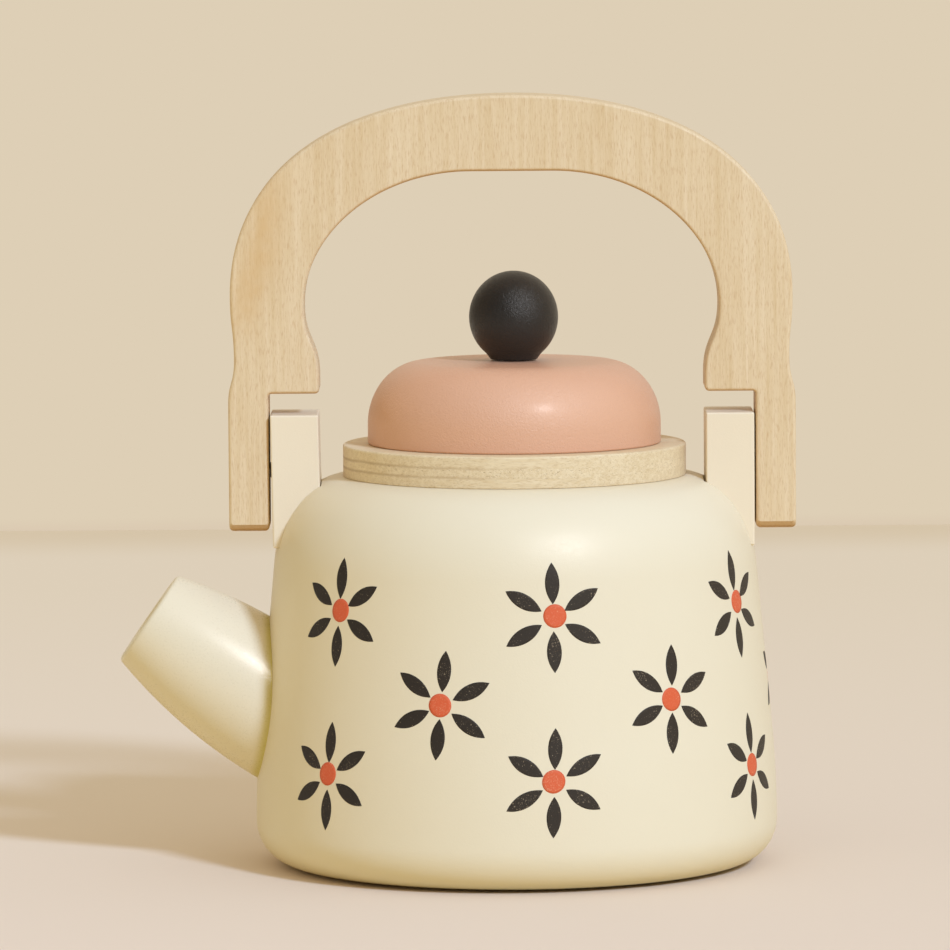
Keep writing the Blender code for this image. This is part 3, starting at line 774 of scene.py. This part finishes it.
# Spout, turned along its own axis and then leaned over
SPOUT_GLOSS = 0.31
# Tint of the painted shade that is multiplied into the paint in the spout's crease
CREASE_SHADE_TINT = (0.75, 0.71, 0.28, 1.0)
spout_place = Matrix.Translation((-side_radius(SPOUT_ROOT_HEIGHT), 0.0, SPOUT_ROOT_HEIGHT))
spout_place @= Matrix.Rotation(SPOUT_TILT - QUARTER_TURN, 4, "Y")


def spout_finish():
    """Cream paint, a little glossier, with painted shade that darkens it in the crease along the body."""
    n = Finish("cream_gloss_paint")
    paint, roughness, height = coat(n, CREAM_PAINT, SPOUT_GLOSS)
    across, deep, up = n.axes(n.where())
    square = n.scaled(deep, deep, n.times(across, across))
    taper = (side_radius(NECK_HEIGHT) - side_radius(0.0)) / NECK_HEIGHT
    wall = n.scaled(up, taper, side_radius(0.0))
    clear = n.minus(n.calc("SQRT", square), wall)
    # painted shade: the paint darkens within a few millimetres of the body's side, where the crease is in
    # shade
    painted_crease_shade = n.ramp(clear, 0.0, CREASE_SHADE_WIDTH, 1.0, 0.0, soft=True)
    colour = n.mix(painted_crease_shade, paint, CREASE_SHADE_TINT, blend_type="MULTIPLY")
    return n.wire(colour, roughness, height, 0.5, PAINT_RELIEF)


def spout_radius(distance):
    """Radius of the spout's bulged side at a distance from its tip."""
    drop = SPOUT_BELLY_RADIUS - SPOUT_TIP_RADIUS
    arc = (SPOUT_BELLY_DISTANCE ** 2 + drop ** 2) / (2.0 * drop)
    return SPOUT_BELLY_RADIUS - arc + math.sqrt(arc ** 2 - (distance - SPOUT_BELLY_DISTANCE) ** 2)


def build_spout():
    """The spout, coped to the body, with the bores of its dowel in both."""
    finish = spout_finish()
    tip, lip, bore_radius = SPOUT_LENGTH, SPOUT_LIP_ROUND, SPOUT_BORE_RADIUS
    length = tip + SPOUT_ROOT_DEPTH
    count = 24
    profile = [(0.0, tip - SPOUT_BORE_DEPTH), (bore_radius, tip - SPOUT_BORE_DEPTH)]
    profile += bend((bore_radius, tip - lip), (bore_radius, tip), (bore_radius + lip, tip), 7)
    profile += bend((SPOUT_TIP_RADIUS - lip, tip), (SPOUT_TIP_RADIUS, tip), (spout_radius(lip), tip - lip), 9)
    distances = [lip + (length - lip) * i / count for i in range(1, count + 1)]
    profile += [(spout_radius(d), tip - d) for d in distances]
    profile.append((0.0, tip - length))
    piece = turned("turned_spout", profile, SPOUT_FACETS, finish)
    piece.data.transform(spout_place)
    solid_body = [(0.0, BODY_TOP)] + body_outside(-PAINTED_GAP) + [(0.0, 0.0)]
    cope = turned("spout_cope", solid_body, BODY_FACETS, finish)
    half = 0.5 * SPOUT_DOWEL_LENGTH + SEAT_GAP
    ends = [spout_place @ Vector((0.0, 0.0, reach)) for reach in (-half, half)]
    cut(piece, cope, rod("spout_dowel_bore", SPOUT_DOWEL_RADIUS, *ends))
    cut(kettle_body, rod("body_dowel_bore", SPOUT_DOWEL_RADIUS, *ends))
    return smooth(piece)


spout = build_spout()


# Brackets in their notches, each on two dowels
def beside(side, piece):
    """The box of a solid of the handle's mounting, which sits a little to the left."""
    low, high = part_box(f"{side}_{piece}")
    shift = Vector((SIDE_SHIFT[side], 0.0, 0.0))
    return low + shift, high + shift


def bore(name, radius, pin_box, axis):
    """A rod for the hole of a pin that lies along an axis, with room all round."""
    low, high = pin_box
    start, end = 0.5 * (low + high), 0.5 * (low + high)
    start[axis] = low[axis] - SEAT_GAP
    end[axis] = high[axis] + SEAT_GAP
    return rod(name, radius, start, end)


def build_bracket(side, sign):
    """A bracket with its bores, and the notch and bores for it in the body."""
    low, high = beside(side, "bracket")
    bracket = block(side + "_block", low, high)
    # The bracket's paint is the lighter copy of the body's cream, with painted light in it
    bracket.data.materials.append(BRACKET_LIT_CREAM)
    modify(
        bracket, "eased_edges", "BEVEL", width=BRACKET_ROUND, segments=BRACKET_ROUND_STEPS,
        limit_method="ANGLE", angle_limit=BRACKET_EDGE_ANGLE)
    gap = Vector((PAINTED_GAP, PAINTED_GAP, PAINTED_GAP))
    notch_low, notch_high = low - gap, high + gap
    if sign > 0.0:
        notch_low.x -= NOTCH_GAP
        notch_high.x = BELLY_RADIUS
    else:
        notch_low.x = -BELLY_RADIUS
        notch_high.x += NOTCH_GAP
    cutters = [block(side + "_notch", notch_low, notch_high)]
    for place in ("front", "back"):
        dowel_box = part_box(f"{side}_bracket_{place}_dowel")
        cut(bracket, bore("bracket_bore", DOWEL_RADIUS, dowel_box, 2))
        cutters.append(bore("body_bore", DOWEL_RADIUS, dowel_box, 2))
    cut(bracket, bore("screw_bore", SCREW_RADIUS, beside(side, "pivot_screw"), 0))
    lean = Matrix.Identity(4)
    lean[0][2] = -BRACKET_LEAN[side]
    lean[0][3] = BRACKET_LEAN[side] * high.z
    bracket.data.transform(lean)
    hand_in(flatten_shading(bracket), "kettle", side + "_bracket")
    cut(kettle_body, *cutters)


for side, sign in SIDES:
    build_bracket(side, sign)
smooth(kettle_body)
kettle_body.data.materials.append(BARE)
for face in kettle_body.data.polygons:
    if face.center.xy.length < CAVITY_RADIUS + SEAT_GAP and face.center.z > CAVITY_FLOOR - SEAT_GAP:
        face.material_index = 1

# Dowels keep their solids, in bare wood with the grain along them
for name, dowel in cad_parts.items():
    if name.endswith("_dowel"):
        dowel.material_slots[0].material = LEANED if name.startswith("spout") else BARE

# Handle board, with rises measured up from the pivot axis
pivot_low, pivot_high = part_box("right_pivot_screw")
PIVOT_HEIGHT = 0.5 * (pivot_low.z + pivot_high.z)
handle_low, handle_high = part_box("handle")
LEG_OUTER = handle_high.x
LEG_INNER = LEG_OUTER - LEG_WIDTH


def handle_outline(inset, foot_inset):
    """The board's outline, drawn in by the inset on every side and by its own at the feet."""
    outer, inner = LEG_OUTER - inset, LEG_INNER + inset
    arch_outer = outer - ARCH_TUCK
    arch_inner = LEG_OUTER - ARCH_TUCK - ARCH_SIDE_WIDTH + inset
    top, inner_top = ARCH_RISE - inset, ARCH_RISE - ARCH_TOP_WIDTH + inset
    foot, step = foot_inset - LEG_DROP, STEP_RISE + inset
    lobe = inner - STEP_LEDGE
    waist = (outer - WAIST_TUCK, WAIST_RISE)
    corner = max(LEG_CORNER_ROUND - inset, SHARP_CORNER)
    step_corner = max(STEP_CORNER_ROUND - inset, SHARP_CORNER)
    fillet = STEP_FILLET + inset
    right = bend((0.0, top), (arch_outer, top), (arch_outer, ARCH_WIDEST_RISE), 49, ARCH_OUTER_FULLNESS)
    right += sway((arch_outer, ARCH_WIDEST_RISE), waist, 17)[1:]
    right += sway(waist, (outer, LEG_TOP_RISE), 15)[1:]
    right += bend((outer, foot + corner), (outer, foot), (outer - corner, foot), 7)
    right += bend((inner + corner, foot), (inner, foot), (inner, foot + corner), 7)
    right += bend((inner, step - fillet), (inner, step), (inner - fillet, step), 7)
    right += bend((lobe + step_corner, step), (lobe, step), (lobe, step + step_corner), 7)
    right += sway((lobe, LOBE_RISE + inset), (arch_inner, INNER_WIDEST_RISE), 21)
    right += bend((arch_inner, INNER_WIDEST_RISE), (arch_inner, inner_top), (INNER_FLAT, inner_top), 41)[1:]
    right.append((0.0, inner_top))
    left = [(-across, rise) for across, rise in reversed(right[1:-1])]
    narrow = (SIDE_SHIFT["right"] - SIDE_SHIFT["left"]) / LEG_OUTER
    return [
        (across + SIDE_SHIFT["left"] + narrow * max(across, 0.0), rise) for across, rise in right + left]


def build_handle():
    """Outlines stacked from the front face to the back face, with both rims rounded over."""
    half = 0.5 * (handle_high.y - handle_low.y)
    layers = []
    for i in range(HANDLE_EDGE_STEPS + 1):
        angle = QUARTER_TURN * i / HANDLE_EDGE_STEPS
        inset = HANDLE_EDGE_ROUND * (1.0 - math.sin(angle))
        depth = HANDLE_EDGE_ROUND * (1.0 - math.cos(angle))
        layers.append((inset, FOOT_CHAMFER - depth, half - depth))
    layers.append((0.0, 0.0, half - FOOT_CHAMFER))
    layers = [(inset, foot, -depth) for inset, foot, depth in layers] + layers[::-1]
    shape = bmesh.new()
    rims = []
    for inset, foot, depth in layers:
        outline = handle_outline(inset, foot)
        rims.append([shape.verts.new((across, depth, PIVOT_HEIGHT + rise)) for across, rise in outline])
    for near, far in zip(rims, rims[1:]):
        for i in range(len(near)):
            shape.faces.new((near[i - 1], near[i], far[i], far[i - 1]))
    shape.faces.new(rims[0])
    shape.faces.new(rims[-1])
    splits = [((SIDE_SHIFT["left"], 0.0, 0.0), (1.0, 0.0, 0.0))]
    for rise in (LOBE_RISE, 0.5 * (LOBE_RISE + ARCH_WIDEST_RISE), ARCH_WIDEST_RISE):
        splits.append(((0.0, 0.0, PIVOT_HEIGHT + rise), (0.0, 0.0, 1.0)))
    for point, normal in splits:
        everything = shape.verts[:] + shape.edges[:] + shape.faces[:]
        bmesh.ops.bisect_plane(shape, geom=everything, dist=SPLIT_WELD, plane_co=point, plane_no=normal)
    bmesh.ops.recalc_face_normals(shape, faces=shape.faces)
    handle = from_shape("arched_handle", shape)
    handle.data.materials.append(BOARD)
    for side, sign in SIDES:
        low, high = beside(side, "pivot_washer")
        inside = SIDE_SHIFT[side] + sign * (LEG_INNER - SEAT_GAP)
        outside = SIDE_SHIFT[side] + sign * (LEG_OUTER + SEAT_GAP)
        seat = low.x - SEAT_GAP if sign > 0.0 else high.x + SEAT_GAP
        sink_radius = 0.5 * (high.z - low.z)
        ends = [(across, 0.0, PIVOT_HEIGHT) for across in (inside, outside, seat)]
        cut(
            handle, rod("pivot_bore", SCREW_RADIUS, ends[0], ends[1]),
            rod("counterbore", sink_radius, ends[2], ends[1]))
    return flatten_shading(handle)


hand_in(build_handle(), "handle", "handle")


# Screws with a cross recess, and washers
def outward(sign, across, rise):
    """Takes what was made along Z to the side of the handle, where it faces outward."""
    return Matrix.Translation((across, 0.0, rise)) @ Matrix.Rotation(sign * QUARTER_TURN, 4, "Y")


def build_screw(name, length, place_matrix, body, node):
    """A pan-head screw along Z, head up, with the underside of its head at zero height."""
    radius, top = SCREW_HEAD_RADIUS, SCREW_HEAD_HEIGHT
    profile = [(0.0, top)]
    profile += bend((SCREW_CROWN_SHARE * radius, top), (radius, top), (radius, SCREW_RIM_SHARE * top), 12)
    profile += [
        (radius, 0.0), (SCREW_RADIUS, 0.0), (SCREW_RADIUS, SCREW_RADIUS - length),
        (SCREW_TIP_SHARE * SCREW_RADIUS, -length), (0.0, -length)]
    screw = turned(name, profile, PIN_FACETS, STEEL)
    floor, roof = top - CROSS_DEPTH, top + CROSS_DEPTH
    long, short = 0.5 * CROSS_LENGTH, 0.5 * CROSS_WIDTH
    for across, deep in ((long, short), (short, long)):
        cut(screw, block("cross_arm", (-across, -deep, floor), (across, deep, roof)))
    screw.data.transform(place_matrix)
    hand_in(smooth(screw), body, node)


def build_washer(side, sign):
    """A flat washer with eased edges, on its seat in the leg."""
    low, high = beside(side, "pivot_washer")
    thick = high.x - low.x
    radius = 0.5 * (high.z - low.z)
    ease = WASHER_EASE_SHARE * thick
    profile = [
        (SCREW_HOLE, thick), (radius - ease, thick), (radius, thick - ease), (radius, ease),
        (radius - ease, 0.0), (SCREW_HOLE, 0.0), (SCREW_HOLE, thick)]
    washer = turned(side + "_washer", profile, PIN_FACETS, STEEL)
    seat = low.x if sign > 0.0 else high.x
    washer.data.transform(outward(sign, seat, 0.5 * (low.z + high.z)))
    hand_in(smooth(washer), "kettle", side + "_pivot_washer")


for side, sign in SIDES:
    low, high = beside(side, "pivot_screw")
    outer = high.x if sign > 0.0 else low.x
    seat = outward(sign, outer - sign * SCREW_HEAD_HEIGHT, PIVOT_HEIGHT)
    length = high.x - low.x - SCREW_HEAD_HEIGHT
    build_screw(side + "_handle_screw", length, seat, "kettle", side + "_pivot_screw")
    build_washer(side, sign)

# Lid
dome_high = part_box("lid_dome")[1]
knob_low, knob_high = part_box("lid_knob")


def build_flange():
    radius, top, foot, ease = flange_high.x, flange_high.z, flange_low.z, FLANGE_EDGE_ROUND
    profile = [(SCREW_HOLE, top)] + straight((SCREW_HOLE, top), (radius - ease, top), 12)
    profile += bend((radius - ease, top), (radius, top), (radius, top - ease), 6)
    ease = FLANGE_FOOT_ROUND
    profile += straight((radius, profile[-1][1]), (radius, foot + ease), 12)
    profile += bend((radius, foot + ease), (radius, foot), (radius - ease, foot), 6)
    profile += [(SCREW_HOLE, foot), (SCREW_HOLE, top)]
    return turned("plywood_flange", profile, LID_FACETS, PLY)


def build_dome():
    radius, top, foot = dome_high.x, dome_high.z, flange_high.z + PAINTED_GAP
    slope = 2.0 * DOME_CROWN / DOME_TOP_RADIUS
    edge = top - DOME_CROWN
    profile = bend((SCREW_HOLE, top), (0.5 * DOME_TOP_RADIUS, top), (DOME_TOP_RADIUS, edge), 17)
    profile += bend(
        (DOME_TOP_RADIUS, edge), (radius, edge - slope * (radius - DOME_TOP_RADIUS)),
        (radius, edge - DOME_SHOULDER_HEIGHT), 41)[1:]
    profile += bend(
        (radius, foot + DOME_FOOT_ROUND), (radius, foot), (radius - DOME_FOOT_ROUND, foot), 9)
    profile += [(SCREW_HOLE, foot), (SCREW_HOLE, top)]
    return turned("pink_dome", profile, LID_FACETS, PINK)


def build_plug():
    radius, top, foot = plug_high.x, plug_high.z, plug_low.z
    recess = foot + SCREW_HEAD_RECESS + SCREW_HEAD_HEIGHT + SEAT_GAP
    recess_radius = SCREW_HEAD_RADIUS + SEAT_GAP
    profile = [(SCREW_HOLE, top), (radius, top)]
    profile += bend((radius, foot + PLUG_EDGE_ROUND), (radius, foot), (radius - PLUG_EDGE_ROUND, foot), 7)
    profile += [(recess_radius, foot), (recess_radius, recess), (SCREW_HOLE, recess), (SCREW_HOLE, top)]
    return turned("locating_plug", profile, LID_FACETS, PLUG_PLY)


def build_knob():
    """A ball with a short flared foot, bored for its screw."""
    radius, foot = knob_high.x, knob_low.z
    flat_angle = math.acos(KNOB_FLAT_RADIUS / radius)
    middle = foot + KNOB_HALF_HEIGHT * math.sin(flat_angle)
    count = 56
    sweep = [QUARTER_TURN - (QUARTER_TURN + flat_angle) * i / count for i in range(count + 1)]
    profile = [(radius * math.cos(a), middle + KNOB_HALF_HEIGHT * math.sin(a)) for a in sweep]
    profile[0] = (0.0, middle + KNOB_HALF_HEIGHT)
    for i, (across, height) in enumerate(profile):
        if height < foot + KNOB_FOOT_HEIGHT:
            profile[i] = (max(across, KNOB_FOOT_RADIUS + KNOB_FOOT_FLARE * (height - foot)), height)
    screw_top = foot + KNOB_SCREW_GRIP + SEAT_GAP
    profile += [(SCREW_HOLE, foot), (SCREW_HOLE, screw_top), (0.0, screw_top)]
    return turned("ball_knob", profile, LID_FACETS // 2, BLACK)


hand_in(build_flange(), "lid", "lid_flange")
hand_in(build_dome(), "lid", "lid_dome")
hand_in(build_plug(), "lid", "lid_plug")
hand_in(build_knob(), "lid", "lid_knob")
screw_low, screw_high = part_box("knob_screw")
upside_down = Matrix.Translation((0.0, 0.0, screw_low.z + SCREW_HEAD_HEIGHT))
upside_down @= Matrix.Rotation(math.pi, 4, "X")
build_screw(
    "lid_screw", screw_high.z - screw_low.z - SCREW_HEAD_HEIGHT, upside_down, "lid", "knob_screw")


# Printed flowers
def body_radius(height):
    """Radius of the body's outer side at a height."""
    side = body_outside()
    for (radius_a, high), (radius_b, low) in zip(side, side[1:]):
        if low <= height <= high and high > low:
            return radius_b + (radius_a - radius_b) * (height - low) / (high - low)
    return BELLY_RADIUS


def print_places(name, with_dots):
    """A point for each flower, with its place on the body as attributes."""
    rows = []
    for height, middle, flowers in FLOWER_ROWS:
        for number, (slip, rise, turn, slope, across, up) in enumerate(flowers):
            angle = middle + slip + FLOWER_STEP * (number - 0.5 * (len(flowers) - 1))
            shift = (across, up) if with_dots else (0.0, 0.0)
            place_on = (math.radians(angle), height + rise, body_radius(height))
            rows.append((*place_on, math.radians(turn), slope, *shift))
    mesh = bpy.data.meshes.new(name)
    mesh.from_pydata([(0.0, 0.0, 0.0)] * len(rows), [], [])
    for label, values in zip(PLACE_LABELS, zip(*rows)):
        mesh.attributes.new(label, "FLOAT", "POINT").data.foreach_set("value", values)
    return add_object(name, mesh)


def dot_stamp():
    """A flat disc of rings round the origin."""
    shape = bmesh.new()
    bmesh.ops.create_circle(shape, cap_ends=True, cap_tris=True, segments=40, radius=DOT_RADIUS)
    spokes = [edge for edge in shape.edges if not edge.is_boundary]
    bmesh.ops.subdivide_edges(shape, edges=spokes, cuts=3)
    return from_shape("dot_stamp", shape)


def print_film(name, stamp, finish, with_dots):
    """A thin film of ink in the shape of the stamp at every flower's place."""
    film = run_tree(
        print_places(name, with_dots), PRINT, Stamp=stamp, Body=kettle_body, Film=INK_FILM, Finish=finish)
    for label in [a.name for a in film.data.attributes if a.name in PLACE_LABELS]:
        film.data.attributes.remove(film.data.attributes[label])
    modify(film, "film", "SOLIDIFY", thickness=3.0 * INK_FILM, offset=-1.0)
    discard(stamp)
    film.data.shade_smooth()
    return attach(film, "kettle")


centre = add_object("petal_stamp", bpy.data.meshes.new("petal_stamp"))
petal_stamp = run_tree(
    centre, FLOWER, Petals=PETAL_COUNT, Start=PETAL_START, End=PETAL_END, Width=PETAL_WIDTH, Finish=INK)
print_film("printed_petals", petal_stamp, INK, False)
print_film("printed_dots", dot_stamp(), RED, True)

hand_in(kettle_body, "kettle", "kettle_body")
hand_in(spout, "kettle", "spout")

# Floor, and the backdrop as the world's colour for the camera
BACKDROP_COLOUR = srgb(222, 207, 182)
SEAM_COLOUR = srgb(219, 202, 178)
FLOOR_NEAR = srgb(234, 213, 188)
FLOOR_FAR = srgb(227, 207, 174)
FLOOR_SEAM = srgb(219, 196, 158)
FLOOR_BOUNCE = (1.0, 1.0, 0.72, 1.0)
FLOOR_REACH = 4.0
FLOOR_BACK = 0.79
SEAM_SLOPE = -0.0951
FILL_COLOUR = (0.703, 0.663, 0.581, 1.0)
FILL_LEVEL = 0.75
FILL_FROM_ABOVE = 0.42
FILL_FROM_RIGHT = -0.05
DIM_TOWARDS = (0.8, 0.7, 0.6)
DIM_SPAN = (-0.2, 0.6)
DIM_LEVEL = -0.8


def floor_finish():
    """Pale matt floor, a little darker where it meets the backdrop, that throws back warmer light."""
    n = Finish("pale_floor", {"Roughness": 0.85})
    deep = n.axes(n.where())[1]
    open_floor = n.mix(n.ramp(deep, -0.3, 0.6), FLOOR_NEAR, FLOOR_FAR)
    seam = n.ramp(deep, FLOOR_BACK - 0.1, FLOOR_BACK - 0.01, soft=True)
    colour = n.mix(seam, open_floor, FLOOR_SEAM)
    unseen = n.minus(1.0, n.seen(n.add("ShaderNodeLightPath").outputs))
    warmed = n.mix(unseen, colour, FLOOR_BOUNCE, blend_type="MULTIPLY")
    n.link(warmed, n.shader["Base Color"])
    return n.material


corners = [(-FLOOR_REACH, -FLOOR_REACH), (FLOOR_REACH, -FLOOR_REACH)]
corners += [(FLOOR_REACH, FLOOR_BACK), (-FLOOR_REACH, FLOOR_BACK)]
floor_mesh = bpy.data.meshes.new("floor")
floor_mesh.from_pydata([(across, deep, 0.0) for across, deep in corners], [], [(0, 1, 2, 3)])
floor = add_object("floor", floor_mesh)
floor_mesh.materials.append(floor_finish())
floor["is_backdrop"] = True


def light_world():
    """Soft fill from all round, and the plain backdrop where it is seen, dimmer in a sheen."""
    world = bpy.data.worlds.new("studio")
    bpy.context.scene.world = world
    world.use_nodes = True
    world.node_tree.nodes.clear()
    n = Nodes(world.node_tree)
    across, deep, up = n.axes(n.where("Generated"))
    level = n.scaled(up, FILL_FROM_ABOVE, FILL_LEVEL)
    level = n.scaled(across, FILL_FROM_RIGHT, level)
    fill = n.get("ShaderNodeBackground", {"Color": FILL_COLOUR, "Strength": level})
    horizon = n.ramp(up, SEAM_SLOPE, SEAM_SLOPE + 0.002, soft=True)
    wall = n.mix(horizon, SEAM_COLOUR, BACKDROP_COLOUR)
    path = n.add("ShaderNodeLightPath").outputs
    beyond = n.scaled(across, DIM_TOWARDS[0], n.times(deep, DIM_TOWARDS[1]))
    beyond = n.scaled(up, DIM_TOWARDS[2], beyond)
    mirrored = n.ramp(beyond, *DIM_SPAN, DIM_LEVEL, 0.0)
    mirrored = n.scaled(path["Is Glossy Ray"], mirrored, 1.0)
    backdrop = n.get("ShaderNodeBackground", {"Color": wall, "Strength": mirrored})
    mixed = n.get("ShaderNodeMixShader", {0: n.seen(path), 1: fill, 2: backdrop})
    n.add("ShaderNodeOutputWorld", {"Surface": mixed})


light_world()


# Key light from the front right, with its sheen as a lamp of its own
def add_key(name, energy, colour, azimuth, elevation, spread, on_sheen):
    """A distant lamp, with its angles in degrees from the front and from the floor."""
    data = bpy.data.lights.new(name, "SUN")
    data.energy = energy
    data.color = colour
    data.angle = math.radians(spread)
    lamp = add_object(name, data)
    lamp.visible_glossy = on_sheen
    lamp.visible_diffuse = not on_sheen
    towards = Vector((0.0, -1.0, 0.0))
    towards.rotate(Quaternion((-1.0, 0.0, 0.0), math.radians(elevation)))
    towards.rotate(Quaternion((0.0, 0.0, 1.0), math.radians(azimuth)))
    lamp.rotation_mode = "QUATERNION"
    lamp.rotation_quaternion = towards.to_track_quat("Z", "Y")


add_key(
    "key", energy=3.18, colour=(0.432, 0.6, 1.0), azimuth=34.0, elevation=33.0, spread=8.0, on_sheen=False)
add_key(
    "key_sheen", energy=1.6, colour=(0.97, 0.97, 1.0), azimuth=27.0, elevation=36.5, spread=11.0,
    on_sheen=True)

# Camera at the photograph's viewing angle
CAMERA_ROLL = math.radians(-0.4)
eye = Vector((-0.0089, -1.68, 0.236))
aim = Vector((-0.0089, 0.0, 0.0874))
camera_data = bpy.data.cameras.new("camera")
camera_data.lens = 284.4
camera_data.sensor_width = 36.0
camera_data.clip_start = 0.1
camera_data.clip_end = 50.0
camera = add_object("camera", camera_data)
camera.location = eye
camera.rotation_mode = "QUATERNION"
level_view = (aim - eye).to_track_quat("-Z", "Y")
camera.rotation_quaternion = level_view @ Quaternion((0.0, 0.0, 1.0), CAMERA_ROLL)
bpy.context.scene.camera = camera

bpy.context.scene.view_settings.view_transform = "Standard"

low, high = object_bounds()
